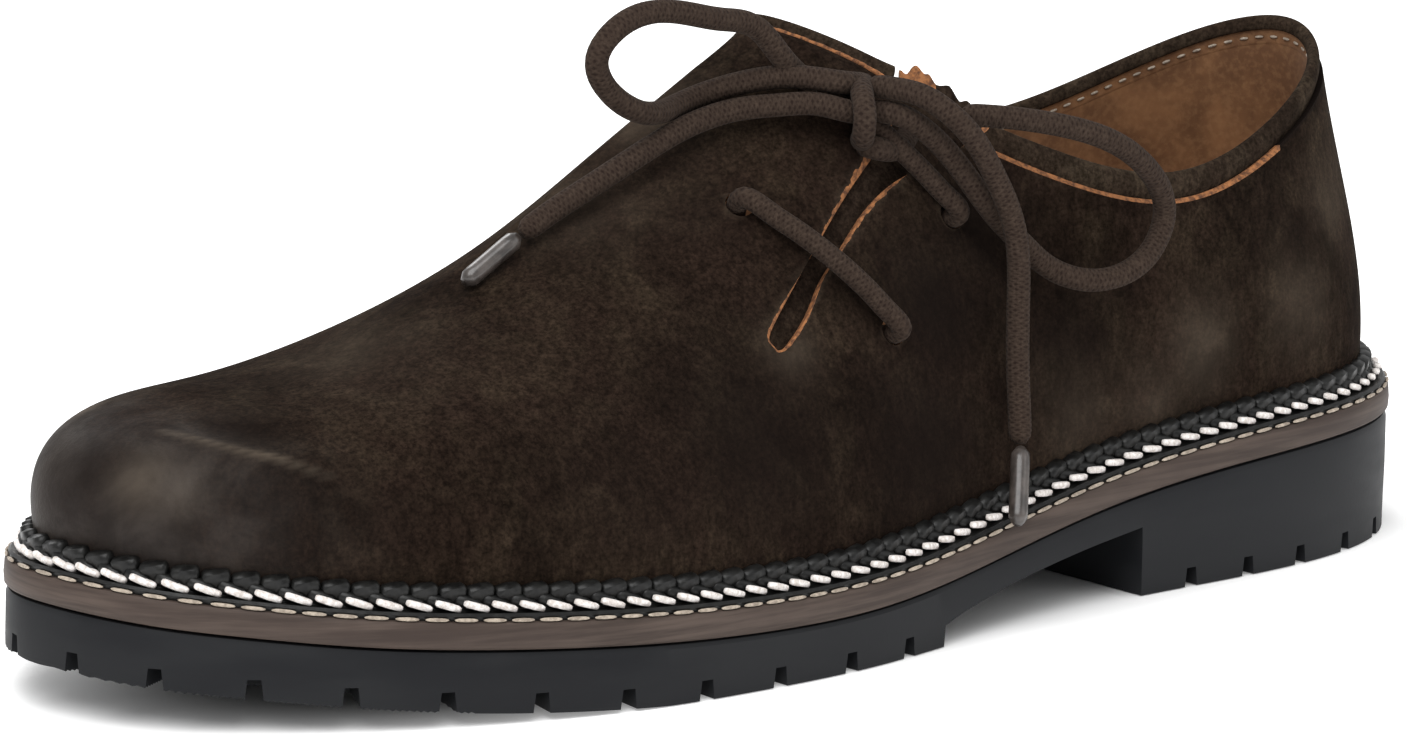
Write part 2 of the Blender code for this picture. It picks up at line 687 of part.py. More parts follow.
SLIT_FACING = np.array([-0.10, -0.83, 0.55])
SLIT_FACING /= np.linalg.norm(SLIT_FACING)


def slit_cutter():
    table = np.array(SLIT) * (LENGTH, BALL_WIDTH, INSTEP_HEIGHT, SLIT_MOUTH)
    at = np.linspace(0, len(table) - 1, 3 * len(table) - 2)
    line = natural(np.arange(len(table)), table, at)
    centre, half = line[:, :3], line[:, 3:]
    along = np.gradient(centre, axis=0)
    across = np.cross(along, SLIT_FACING)
    across /= np.linalg.norm(across, axis=1)[:, None]
    reach = SLIT_FACING * CUT_REACH
    rings = [np.array([c - w * h + reach, c + w * h + reach, c + w * h - reach, c - w * h - reach]) for c, w, h in zip(centre, across, half)]
    return strip_solid("slit_cutter", rings, cap=True)


def round_cutter(name, centre, facing, radius, reach=CUT_REACH, sides=14):
    facing = facing / np.linalg.norm(facing)
    side = np.cross(facing, (1.0, 0, 0))
    side /= np.linalg.norm(side)
    other = np.cross(facing, side)
    angle = np.linspace(0, 2 * np.pi, sides, endpoint=False)[:, None]
    ring = (np.cos(angle) * side + np.sin(angle) * other) * radius
    return strip_solid(name, [centre + ring - facing * reach, centre + ring + facing * reach], cap=True)


def facing_out(made):
    """Turns the faces of a closed mesh outwards."""
    mesh = made.data
    volume = 0.0
    for p in mesh.polygons:
        v = [mesh.vertices[i].co for i in p.vertices]
        for a, b in zip(v[1:], v[2:]):
            volume += v[0].dot(a.cross(b))
    if volume < 0:
        mesh.flip_normals()
    return made


def cut(target, cutters):
    for cutter in cutters:
        facing_out(cutter)
        cutter.hide_render = True
        cutter.display_type = "WIRE"
        modifier = target.modifiers.new(cutter.name, "BOOLEAN")
        modifier.operation = "DIFFERENCE"
        modifier.solver = "EXACT"
        modifier.object = cutter


def make_tongue(columns=12, rows=9, tip_rows=2):
    t_key, front, rear = np.array(TONGUE).T
    t = np.linspace(t_key[0], 1, rows + 1)
    share = np.linspace(0, 1, columns + 1)
    ends = natural(t_key, np.column_stack([front, rear]), t)
    face = []
    for row, (a, b) in zip(t, ends):
        k = a + (b - a) * share
        face.append(upper_points(k, np.array([row]), -1)[:, 0])
    k = ends[-1, 0] + (ends[-1, 1] - ends[-1, 0]) * share
    rise = natural(np.arange(len(BAND)), np.array(BAND), k - APEX)
    rise /= np.linalg.norm(rise, axis=1)[:, None]
    tooth = np.where(np.arange(columns + 1) % 2, TIP_TOOTH, -TIP_TOOTH)[:, None]
    round_off = (TIP_CORNER * np.abs(2 * share - 1) ** 3)[:, None]
    for i in range(1, tip_rows + 1):
        length = TONGUE_TIP * i / tip_rows - round_off * i / tip_rows
        if i == tip_rows:
            length = length + tooth
        face.append(face[rows] + rise * length)
    face = np.array(face)
    m, n = face.shape[:2]
    flat = face.reshape(-1, 3)
    quads = [[a * n + b, a * n + b + 1, (a + 1) * n + b + 1, (a + 1) * n + b] for a in range(m - 1) for b in range(n - 1)]
    normals = vertex_normals(flat, quads)
    if (normals[:, 1]).mean() > 0:
        normals = -normals
        quads = [q[::-1] for q in quads]
    normals = normals.reshape(m, n, 3)
    normals[rows:] = normals[rows - 1]
    normals = normals.reshape(-1, 3)
    outer = flat - normals * (WALL + TONGUE_GAP)
    inner = outer - normals * TONGUE_THICK
    count = len(flat)
    edge = [i for i in range(n)] + [i * n + n - 1 for i in range(1, m)]
    edge += [(m - 1) * n + i for i in range(n - 2, -1, -1)] + [i * n for i in range(m - 2, 0, -1)]
    faces = quads + [[v + count for v in q[::-1]] for q in quads]
    for a, b in zip(edge, edge[1:] + edge[:1]):
        faces.append([a, b, b + count, a + count])
    made = mesh_object("tongue", np.concatenate([outer, inner]), faces)
    tidy_faces(made)
    return made


def tidy_faces(made):
    """Makes neighbouring faces agree, then turns them outwards."""
    work = bmesh.new()
    work.from_mesh(made.data)
    bmesh.ops.recalc_face_normals(work, faces=work.faces)
    work.to_mesh(made.data)
    work.free()
    return facing_out(made)


def cord(name, points, wide, sides=2):
    """Round cord along a smooth path."""
    points = np.asarray(points)
    run = np.concatenate([[0], np.cumsum(np.linalg.norm(np.diff(points, axis=0), axis=1))])
    count = max(2, int(round(run[-1] / (wide * 0.95))) + 1)
    path = natural(run, points, np.linspace(0, run[-1], count)) if len(points) > 2 else points
    curve = bpy.data.curves.new(name, "CURVE")
    curve.dimensions = "3D"
    curve.bevel_depth = wide / 2
    curve.bevel_resolution = sides
    curve.use_fill_caps = True
    spline = curve.splines.new("POLY")
    spline.points.add(len(path) - 1)
    for point, place in zip(spline.points, path):
        point.co = (*place, 1)
    made = bpy.data.objects.new(name, curve)
    bpy.context.scene.collection.objects.link(made)
    return made


def make_bar(name, find, start, end, lift):
    """A crossing of the lace that lies on the upper between two holes."""
    share = np.linspace(0, 1, 9)
    a, b = (np.array(HOLES[n]) * (LENGTH, INSTEP_HEIGHT) for n in (start, end))
    points = []
    for s in share:
        x, z = a + (b - a) * s
        place, facing = find(x, z)
        facing = SLIT_FACING * 0.6 + facing * 0.4
        points.append(place + facing / np.linalg.norm(facing) * (LACE / 2 + CORD_GAP + lift * np.sin(np.pi * s)))
    return cord(name, points, LACE)


def make_bow():
    sizes = (LENGTH, BALL_WIDTH, INSTEP_HEIGHT)
    for name, path in BOW.items():
        wide = {"lace_knot": KNOT_CORD, "aglet_front": AGLET_WIDE, "aglet_rear": AGLET_WIDE}.get(name, LACE)
        cord(name, np.array(path) * sizes, wide, 1 if name.startswith("aglet") else 2)


upper = make_upper()
tidy_faces(upper)
find = surface_finder(upper)
cutters = [slit_cutter()]
for name, (x, z) in HOLES.items():
    cutters.append(round_cutter(name + "_cutter", *find(x * LENGTH, z * INSTEP_HEIGHT), HOLE_WIDE / 2))
cut(upper, cutters)
outsole = tidy_faces(make_outsole())
cut(outsole, [tidy_faces(side_notches()), tidy_faces(tread_pockets())])
tidy_faces(make_midsole())
tidy_faces(make_insole())
tidy_faces(make_welt())
make_tongue()
make_bar("lace_bar_low", find, "front_low", "rear_low", BAR_LIFT)
make_bar("lace_bar_high", find, "rear_high", "front_high", 0.0)
make_bow()

# The origin goes under the middle of the sole
middle = Matrix.Translation((-(PLAN[:, 0].min() + PLAN[:, 0].max()) / 2, -(PLAN[:, 1].min() + PLAN[:, 1].max()) / 2, 0))
for made in bpy.data.objects:
    made.data.transform(middle)
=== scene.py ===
# %% [markdown]
# # A haferl shoe for the left foot
#
# A haferl shoe is a low folk shoe: a soft suede upper with a laced slit on its side, a plaited
# welt with two rows of stitches, a leather midsole and a lugged rubber sole. The simulation model
# of it is plain and closed. This script loads that model as a fixed frame and dresses it, one
# piece at a time, in the same metres and the same place.

# %% Load the frame
import math

import bmesh
import bpy
import numpy as np
from mathutils import Matrix, Vector
from mathutils.bvhtree import BVHTree
from mathutils.kdtree import KDTree


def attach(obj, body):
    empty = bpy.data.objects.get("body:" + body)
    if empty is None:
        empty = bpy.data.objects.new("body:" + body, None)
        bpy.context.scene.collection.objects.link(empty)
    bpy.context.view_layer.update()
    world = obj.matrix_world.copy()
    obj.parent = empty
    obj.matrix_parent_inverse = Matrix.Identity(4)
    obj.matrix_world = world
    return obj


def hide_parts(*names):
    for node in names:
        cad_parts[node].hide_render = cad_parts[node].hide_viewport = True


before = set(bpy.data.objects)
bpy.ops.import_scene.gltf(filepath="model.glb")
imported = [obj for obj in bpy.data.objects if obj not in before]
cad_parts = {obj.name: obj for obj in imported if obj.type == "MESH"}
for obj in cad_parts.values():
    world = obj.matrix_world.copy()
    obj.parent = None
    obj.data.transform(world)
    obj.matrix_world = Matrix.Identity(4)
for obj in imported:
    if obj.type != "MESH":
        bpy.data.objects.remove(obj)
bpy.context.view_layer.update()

MM = 0.001

# %% [markdown]
# ## Camera
#
# The photograph was taken with a long lens from a little above the floor, with the toe towards
# the camera. The camera was found by fitting the even stitches of the welt and the floor line, so
# it is placed by an angle round the shoe, an angle above the floor, a small roll and a distance.

# %% Camera
PICTURE_WIDE = 1407
FOCAL_PIXELS = 6767.0
SENSOR_WIDE = 36.0
AIM = Vector((-0.0117, 0.0015, 0.0426))
DISTANCE = 1.2098
AROUND = math.radians(-40.48)
ABOVE = math.radians(11.374)
ROLL = math.radians(1.194)


def place_camera():
    flat = math.cos(ABOVE)
    back = Vector((math.sin(AROUND) * flat, -math.cos(AROUND) * flat, math.sin(ABOVE)))
    level = (-back).cross(Vector((0, 0, 1))).normalized()
    upright = level.cross(-back)
    right = level * math.cos(ROLL) + upright * math.sin(ROLL)
    top = upright * math.cos(ROLL) - level * math.sin(ROLL)
    turn = Matrix((right, top, back)).transposed().to_4x4()
    data = bpy.data.cameras.new("camera")
    data.sensor_width = SENSOR_WIDE
    data.lens = SENSOR_WIDE * FOCAL_PIXELS / PICTURE_WIDE
    data.clip_start = 0.05
    data.clip_end = 60.0
    camera = bpy.data.objects.new("camera", data)
    bpy.context.scene.collection.objects.link(camera)
    camera.matrix_world = Matrix.Translation(AIM + back * DISTANCE) @ turn
    bpy.context.scene.camera = camera
    return camera


camera = place_camera()
print("camera at", [round(v, 3) for v in camera.matrix_world.translation], "lens", round(camera.data.lens, 1))

# %% [markdown]
# ## Sizes
#
# Every shape below is worked out from the shoe's own sizes. They are the sizes of the simulation
# model, so each new piece lands on the plain one that it dresses.

# %% Driving sizes, in metres
LENGTH = 0.303
BALL_WIDTH = 0.1056
INSTEP_HEIGHT = 0.1048
HEEL_STACK = 0.0278
FRONT_STACK = 0.0148
MIDSOLE_THICK = 0.0048
TOE_SPRING = 0.0080
ARCH_STEP = 0.0038
ARCH_RISE = 0.0128
LUG_DEPTH = 0.0035
LUG_REACH = 0.014
NOTCH_WIDE = 0.0036
NOTCH_PITCH = 0.0164
HEEL_PITCH = 0.0150
FRONT_NOTCHES = 22
HEEL_NOTCHES = 11
FRONT_LAST_NOTCH = -0.022
HEEL_FIRST_NOTCH = 0.238
BAR_WIDE = 0.0055
WALL = 0.0020
BAND_HEIGHT = 0.0050
BAND_STEP = 0.0009
FEATHER_INSET = 0.0062
TOE_BULGE = 0.0058
COLLAR_FLARE = 0.0040
SLIT_MOUTH = 0.0120
WELT_HEIGHT = 0.0046
WELT_BED = 0.0014
WELT_STEP = 0.0029
INSOLE_THICK = 0.0030
TONGUE_THICK = 0.0018
LACE = 0.0042
GAP = 0.0003

# Sole plan: station as a share of LENGTH from the toe, half widths as shares of BALL_WIDTH
TOE_TIP = 0.092
SOLE_PLAN = [
    # station, outer, inner
    (0.020, 0.133, 0.237),
    (0.060, 0.247, 0.354),
    (0.120, 0.360, 0.435),
    (0.200, 0.451, 0.479),
    (0.280, 0.503, 0.485),
    (0.360, 0.515, 0.460),
    (0.450, 0.500, 0.407),
    (0.550, 0.440, 0.350),
    (0.650, 0.394, 0.322),
    (0.750, 0.384, 0.322),
    (0.850, 0.366, 0.329),
    (0.930, 0.292, 0.280),
    (0.980, 0.165, 0.165),
]

# Sole side view: station, top of the midsole as a share between FRONT_STACK and HEEL_STACK
SOLE_TOP = [
    # station, share
    (0.00, 0.68),
    (0.12, 0.34),
    (0.25, 0.13),
    (0.40, 0.00),
    (0.55, 0.19),
    (0.70, 0.70),
    (0.85, 0.97),
    (1.00, 1.00),
]
SPRING = [
    # station, share of TOE_SPRING
    (0.00, 1.00),
    (0.10, 0.56),
    (0.20, 0.20),
    (0.29, 0.00),
]
FRONT_END = 0.513
HEEL_BREAST = 0.697


# %% [markdown]
# ## Smooth curves and the sole's outline
#
# A shoemaker draws the sole with a few measured points and a flexible ruler. A natural cubic
# curve does the same: it passes through each point and bends as little as it can between them.

# %% Curves and the outline
def natural(xs, ys, at):
    """Smooth curve through the points (xs, ys), read at the values at."""
    xs, ys, at = np.asarray(xs, float), np.asarray(ys, float), np.asarray(at, float)
    n = len(xs)
    h = np.diff(xs)
    a = np.zeros((n, n))
    b = np.zeros((n,) + ys.shape[1:])
    a[0, 0] = a[-1, -1] = 1
    for i in range(1, n - 1):
        a[i, i - 1], a[i, i], a[i, i + 1] = h[i - 1], 2 * (h[i - 1] + h[i]), h[i]
        b[i] = 6 * ((ys[i + 1] - ys[i]) / h[i] - (ys[i] - ys[i - 1]) / h[i - 1])
    m = np.linalg.solve(a, b)
    i = np.clip(np.searchsorted(xs, at, side="right") - 1, 0, n - 2)
    shape = at.shape + (1,) * (ys.ndim - 1)
    lo, hi, w = (at - xs[i]).reshape(shape), (xs[i + 1] - at).reshape(shape), h[i].reshape(shape)
    return (
        m[i] * hi**3 / (6 * w)
        + m[i + 1] * lo**3 / (6 * w)
        + (ys[i] / w - m[i] * w / 6) * hi
        + (ys[i + 1] / w - m[i + 1] * w / 6) * lo
    )


def looped(xs, ys, period, at):
    """The same for a closed loop: the points are repeated on both sides of it."""
    xs, ys = np.asarray(xs, float), np.asarray(ys, float)
    wide = np.concatenate([xs - period, xs, xs + period])
    return natural(wide, np.concatenate([ys, ys, ys]), at)


def plan_loop(count=720):
    """Outline of the sole as a closed loop: toe tip, outer side, heel, inner side."""
    points = [(0.0, TOE_TIP)] + [(s, -o) for s, o, _ in SOLE_PLAN]
    points += [(1.0, 0.0)] + [(s, i) for s, _, i in reversed(SOLE_PLAN)]
    points = np.array([((s - 0.5) * LENGTH, w * BALL_WIDTH) for s, w in points])
    steps = np.linalg.norm(np.roll(points, -1, axis=0) - points, axis=1) ** 0.5
    at = np.concatenate([[0], np.cumsum(steps)])
    t = np.linspace(0, at[-1], count, endpoint=False)
    return looped(at[:-1], points, at[-1], t)


PLAN = plan_loop()
TANGENT = np.roll(PLAN, -1, axis=0) - np.roll(PLAN, 1, axis=0)
TANGENT /= np.linalg.norm(TANGENT, axis=1)[:, None]
OUTWARD = np.stack([TANGENT[:, 1], -TANGENT[:, 0]], axis=1)
if (OUTWARD * PLAN).sum() < 0:
    OUTWARD = -OUTWARD
HEEL_AT = int(np.argmax(PLAN[:, 0]))


def inset(distance):
    return PLAN - OUTWARD * distance


def side_points(loop, side, shares):
    """Points and outward directions on one side of a loop, at shares of the way from toe tip to heel."""
    order = np.arange(HEEL_AT + 1) if side < 0 else np.arange(len(loop), HEEL_AT - 1, -1) % len(loop)
    line = loop[order]
    run = np.concatenate([[0], np.cumsum(np.linalg.norm(np.diff(line, axis=0), axis=1))])
    run /= run[-1]
    found = np.stack([np.interp(shares, run, line[:, i]) for i in (0, 1)], axis=1)
    out = np.stack([np.interp(shares, run, OUTWARD[order][:, i]) for i in (0, 1)], axis=1)
    return found, out / np.linalg.norm(out, axis=1)[:, None]


def station(x):
    return np.clip(np.asarray(x) / LENGTH + 0.5, 0, 1)


def sole_top(x):
    at, share = zip(*SOLE_TOP)
    return FRONT_STACK + (HEEL_STACK - FRONT_STACK) * natural(at, share, station(x))


def sole_bottom(x, part):
    """Underside before the lugs are cut: part is front, arch or heel."""
    if part == "heel":
        return np.zeros_like(np.asarray(x, float))
    if part == "arch":
        share = (station(x) - FRONT_END) / (HEEL_BREAST - FRONT_END)
        return ARCH_STEP + (ARCH_RISE - ARCH_STEP) * share**0.8
    at, share = zip(*SPRING)
    rise = natural(at, share, np.clip(station(x), 0, at[-1]))
    return TOE_SPRING * np.maximum(rise, 0) * (station(x) < at[-1])

# %% [markdown]
# ## The last's folds
#
# The upper is drawn as a set of fold lines, each from the feather line on the sole up to the
# ridge of the instep or to the collar. The table gives a few folds, and the curves between them
# are smooth.

# %% Fold tables
# Upper: one row per fold line of the last, from the toe tip to the back of the heel.
# foot: share of the way along the feather line. x: share of LENGTH, y: share of BALL_WIDTH,
# z: share of INSTEP_HEIGHT of the fold's top. low_out: share of TOE_BULGE above the feather,
# low_up: its height share. pull, out, drop: how the fold arrives at its top; out is a share of COLLAR_FLARE.
OUTER_FOLDS = [
    # foot, x, y, z, low_out, low_up, pull, out, drop
    (0.000, -0.3830, 0.060, 0.4820, 1.000, 0.67, 0.93, 0.00, -0.03),
    (0.093, -0.3690, 0.060, 0.4840, 0.966, 0.67, 0.89, 0.00, -0.02),
    (0.186, -0.3320, 0.058, 0.4940, 0.828, 0.66, 0.78, 0.00, -0.01),
    (0.280, -0.2700, 0.057, 0.5520, 0.621, 0.60, 0.64, 0.00, 0.00),
    (0.375, -0.1910, 0.057, 0.6560, 0.448, 0.50, 0.56, 0.00, 0.00),
    (0.468, -0.1060, 0.057, 0.8030, 0.345, 0.46, 0.52, 0.00, 0.00),
    (0.551, 0.0080, 0.057, 0.9900, 0.310, 0.42, 0.48, 0.00, 0.00),
    (0.601, 0.0545, -0.099, 0.9230, 0.310, 0.40, 0.34, 0.50, -0.08),
    (0.651, 0.0840, -0.196, 0.8360, 0.345, 0.38, 0.12, 0.75, -0.24),
    (0.716, 0.1550, -0.270, 0.7350, 0.414, 0.36, 0.00, 0.75, -0.34),
    (0.784, 0.2480, -0.294, 0.6730, 0.483, 0.36, 0.00, 0.75, -0.34),
    (0.856, 0.3370, -0.265, 0.7300, 0.552, 0.36, 0.00, 1.00, -0.34),
    (0.932, 0.4120, -0.168, 0.8200, 0.414, 0.36, 0.00, 0.90, -0.34),
    (1.000, 0.4440, 0.000, 0.8680, 0.414, 0.36, 0.00, 0.90, -0.34),
]
INNER_FOLDS = [
    # foot, x, y, z, low_out, low_up, pull, out, drop
    (0.000, -0.3830, 0.060, 0.4820, 1.000, 0.67, 0.93, 0.00, -0.03),
    (0.093, -0.3690, 0.060, 0.4840, 0.966, 0.67, 0.89, 0.00, -0.02),
    (0.186, -0.3320, 0.058, 0.4940, 0.828, 0.66, 0.78, 0.00, -0.01),
    (0.280, -0.2700, 0.057, 0.5520, 0.621, 0.60, 0.64, 0.00, 0.00),
    (0.375, -0.1910, 0.057, 0.6560, 0.448, 0.50, 0.56, 0.00, 0.00),
    (0.468, -0.1060, 0.057, 0.8030, 0.345, 0.46, 0.52, 0.00, 0.00),
    (0.551, 0.0080, 0.057, 0.9900, 0.310, 0.42, 0.48, 0.00, 0.00),
    (0.601, 0.0410, 0.170, 0.9180, 0.310, 0.40, 0.34, 0.50, -0.08),
    (0.651, 0.0880, 0.243, 0.8220, 0.345, 0.38, 0.12, 0.75, -0.24),
    (0.716, 0.1650, 0.286, 0.7340, 0.414, 0.36, 0.00, 0.75, -0.34),
    (0.784, 0.2540, 0.288, 0.6980, 0.483, 0.36, 0.00, 0.75, -0.34),
    (0.856, 0.3400, 0.252, 0.7520, 0.552, 0.36, 0.00, 1.00, -0.34),
    (0.932, 0.4120, 0.160, 0.8340, 0.414, 0.36, 0.00, 0.90, -0.34),
    (1.000, 0.4440, 0.000, 0.8680, 0.414, 0.36, 0.00, 0.90, -0.34),
]
# Collar band above the raw edge, from the apex to the heel: shares of BAND_HEIGHT
BAND = [
    # back, inward, up
    (0.45, 0.00, 0.60),
    (0.30, 0.28, 0.72),
    (0.18, 0.28, 0.88),
    (0.05, 0.18, 0.98),
    (0.00, 0.12, 1.00),
    (0.00, 0.12, 1.00),
    (-0.05, 0.10, 1.00),
    (-0.12, 0.00, 1.00),
]
# Side slit: its centre line as shares of LENGTH, BALL_WIDTH and INSTEP_HEIGHT, and its half width as a share of SLIT_MOUTH
SLIT = [
    # x, y, z, half_width
    (-0.0845, -0.3352, 0.5280, 0.075),
    (-0.0785, -0.3295, 0.5390, 0.158),
    (-0.0580, -0.3078, 0.5840, 0.192),
    (-0.0400, -0.2860, 0.6290, 0.167),
    (-0.0200, -0.2633, 0.6710, 0.175),
    (0.0060, -0.2358, 0.7260, 0.183),
    (0.0350, -0.2150, 0.7760, 0.250),
    (0.0620, -0.2036, 0.8150, 0.450),
    (0.0800, -0.1856, 0.8500, 0.683),
    (0.1050, -0.1648, 0.9250, 0.917),
    (0.1200, -0.1506, 0.9800, 1.000),
]
# Lace holes, seen from the side
HOLES = {
    # name: (x, z)
    "front_low": (-0.0650, 0.7340),
    "rear_low": (0.0053, 0.5220),
    "rear_high": (0.0743, 0.6880),
    "front_high": (0.0102, 0.9055),
}
HOLE_WIDE = 0.0052
# Tongue under the slit: t is the height share on the folds, then the folds it reaches at the front and the rear
TONGUE = [
    # t, front, rear
    (0.38, 4.30, 5.30),
    (0.47, 4.45, 5.90),
    (0.57, 5.10, 7.00),
    (0.75, 6.10, 7.90),
    (0.90, 7.00, 8.45),
    (1.00, 7.40, 8.60),
]
TONGUE_TIP = 0.0074
TONGUE_GAP = 0.0005
TIP_TOOTH = 0.0008
TIP_CORNER = 0.0035

# %% Fold functions
APEX = 6
LAST = len(OUTER_FOLDS) - 1


def fold_values(k):
    """Every column of both fold tables at the positions k, smooth across the toe and the heel."""
    outer, inner = np.array(OUTER_FOLDS), np.array(INNER_FOLDS)
    rows = np.concatenate([outer, inner[-2:0:-1]])
    at = np.arange(len(rows))
    shape = np.concatenate([rows[:, :1], rows[:, 4:]], axis=1)
    # foot shares run on across the joins, so that they too stay smooth
    shape[:, 0] = np.where(at > LAST, 2 - shape[:, 0], shape[:, 0])
    lap = shape.copy()
    wide = np.concatenate([lap, lap, lap])
    wide[: len(rows), 0] -= 2
    wide[2 * len(rows) :, 0] += 2
    wide_at = np.concatenate([at - len(rows), at, at + len(rows)])
    left = natural(wide_at, wide, k)
    right = natural(wide_at, wide, len(rows) - np.asarray(k, float))
    right[:, 0] = 2 - right[:, 0]
    # tops: the ridge up to the apex, then the loop of the collar
    ridge = natural(np.arange(APEX + 1), outer[: APEX + 1, 1:4], np.minimum(k, APEX))
    collar = np.concatenate([outer[APEX:, 1:4], inner[-2:APEX:-1, 1:4]])
    count = len(collar)
    past = np.maximum(np.asarray(k, float) - APEX, 0)
    top_left = looped(np.arange(count), collar, count, past)
    top_right = looped(np.arange(count), collar, count, (count - past) % count)
    opened = (np.asarray(k) > APEX)[:, None]
    return (
        (left, np.where(opened, top_left, ridge)),
        (right, np.where(opened, top_right, ridge)),
    )


def fold_lines(k, side):
    """The four control points of each fold, as arrays of (x, y, z)."""
    shape, top = fold_values(k)[0 if side < 0 else 1]
    foot_xy, out = side_points(inset(FEATHER_INSET), side, np.clip(shape[:, 0], 0, 1))
    foot = np.column_stack([foot_xy, sole_top(foot_xy[:, 0]) + GAP])
    end = top * (LENGTH, BALL_WIDTH, INSTEP_HEIGHT)
    out = np.column_stack([out, np.zeros(len(out))])
    high = (end - foot)[:, 2:]
    low_out, low_up, pull, wide, drop = (shape[:, i : i + 1] for i in range(1, 6))
    up = np.array([[0, 0, 1.0]])
    low = foot + out * low_out * TOE_BULGE + up * high * low_up
    flat = (foot - end) * (1, 1, 0)
    near = end + flat * pull + out * wide * COLLAR_FLARE + up * high * drop
    return foot, low, near, end


def upper_points(k, t, side):
    """Points of the upper's outer face: k picks the fold, t runs from the feather line to its top."""
    p = fold_lines(k, side)
    t = np.asarray(t, float)[None, :, None]
    a, b, c, d = (q[:, None, :] for q in p)
    return (1 - t) ** 3 * a + 3 * (1 - t) ** 2 * t * b + 3 * (1 - t) * t**2 * c + t**3 * d
# %% [markdown]
# ## Three small helpers for meshes
#
# Most soft pieces of a shoe are a sheet bent along a path. `sheet_mesh` starts from Blender's own
# grid and puts each of its points where a table of places says, so a whole strip is one operator
# and one function. Where the first and last columns meet, merging the doubles closes the seam.
# `finish_piece` turns the faces outwards, moves the piece to the model's origin and hangs it on
# the shoe's one body.

# %% Mesh helpers
MIDDLE = Vector(((PLAN[:, 0].min() + PLAN[:, 0].max()) / 2, (PLAN[:, 1].min() + PLAN[:, 1].max()) / 2, 0))
WELD = 1e-6


def sheet_mesh(places, work=None):
    """A grid whose point (i, j) lies at places[i, j]."""
    work = work or bmesh.new()
    wide, high = places.shape[0] - 1, places.shape[1] - 1
    grid = bmesh.ops.create_grid(work, x_segments=wide, y_segments=high, size=0.5)
    for v in grid["verts"]:
        v.co = places[round((v.co.x + 0.5) * wide), round((v.co.y + 0.5) * high)]
    return work


def finish_piece(name, work, materials, smooth=40, outwards=True):
    if outwards:
        bmesh.ops.remove_doubles(work, verts=work.verts, dist=WELD)
        bmesh.ops.recalc_face_normals(work, faces=work.faces)
    bmesh.ops.translate(work, vec=-MIDDLE, verts=work.verts)
    mesh = bpy.data.meshes.new(name)
    work.to_mesh(mesh)
    work.free()
    for material in materials:
        mesh.materials.append(material)
    piece = bpy.data.objects.new(name, mesh)
    bpy.context.scene.collection.objects.link(piece)
    mesh.polygons.foreach_set("use_smooth", [True] * len(mesh.polygons))
    mesh.set_sharp_from_angle(angle=math.radians(smooth))
    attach(piece, "root")
    print(name, "has", len(mesh.polygons), "faces")
    return piece


def closed_ring(rows):
    """Repeats the first entry at the end, so that a ring of places closes on itself."""
    return np.concatenate([rows, rows[:1]])


def bake_modifiers(piece, helpers=(), smooth=38):
    """Keeps the result of the piece's modifiers as its mesh, and removes the helpers."""
    graph = bpy.context.evaluated_depsgraph_get()
    done = bpy.data.meshes.new_from_object(piece.evaluated_get(graph))
    piece.modifiers.clear()
    old = piece.data
    piece.data = done
    bpy.data.meshes.remove(old)
    done.set_sharp_from_angle(angle=math.radians(smooth))
    for helper in helpers:
        bpy.data.objects.remove(helper, do_unlink=True)
    print(piece.name, "now has", len(done.polygons), "faces")


# %% [markdown]
# ## Materials
#
# Suede is leather split so that its fibres stand up. It has no gloss, a cloudy colour where the
# nap leans this way or that, and a bright fringe where it is seen edge on, which the sheen gives.
# The colours are noted as hex, the way a painter reads them off a screen, and one function turns
# them into the linear light that Blender mixes. `add` makes a node, sets it and links it.

# %% Node helpers


def colour(code):
    """Linear colour of an sRGB hex code."""
    parts = [int(code[i : i + 2], 16) / 255 for i in (1, 3, 5)]
    return [p / 12.92 if p <= 0.04045 else ((p + 0.055) / 1.055) ** 2.4 for p in parts] + [1.0]


def add(tree, kind, inputs=None, **settings):
    """A node of that kind. inputs gives each socket a value, or the (node, output) that feeds it."""
    made = tree.nodes.new("ShaderNode" + kind)
    for key, value in settings.items():
        setattr(made, key, value)
    for socket, value in (inputs or {}).items():
        if isinstance(value, tuple) and isinstance(value[0], bpy.types.Node):
            tree.links.new(value[0].outputs[value[1]], made.inputs[socket])
        else:
            made.inputs[socket].default_value = value
    return made


def blend_colours(tree, share, first, second, mode="MIX"):
    """Mixes two colours; each is a hex code or a (node, output)."""
    ends = {6: first, 7: second}
    inputs = {0: share}
    for socket, end in ends.items():
        inputs[socket] = colour(end) if isinstance(end, str) else end
    return add(tree, "Mix", inputs, data_type="RGBA", blend_type=mode), 2


def soft_step(tree, value, low, high, out_low=0.0, out_high=1.0):
    """Turns a value between low and high into one between out_low and out_high, clamped."""
    inputs = {0: value, 1: low, 2: high, 3: out_low, 4: out_high}
    return add(tree, "MapRange", inputs, interpolation_type="SMOOTHSTEP"), 0


def new_material(name, **sockets):
    """A material with its Principled shader, whose constant sockets are set by name."""
    made = bpy.data.materials.new(name)
    made.use_nodes = True
    shader = made.node_tree.nodes["Principled BSDF"]
    for socket, value in sockets.items():
        shader.inputs[socket.replace("_", " ")].default_value = value
    return made, made.node_tree, shader


def noise(tree, place, size, detail=3.0, rough=0.5, twist=0.0, stretch=None):
    """Noise whose blotches are about size metres wide."""
    if stretch:
        place = add(tree, "Mapping", {0: place, 3: stretch}), 0
    inputs = {"Vector": place, "Scale": 0.6 / size, "Detail": detail, "Roughness": rough, "Distortion": twist}
    return add(tree, "TexNoise", inputs), 0
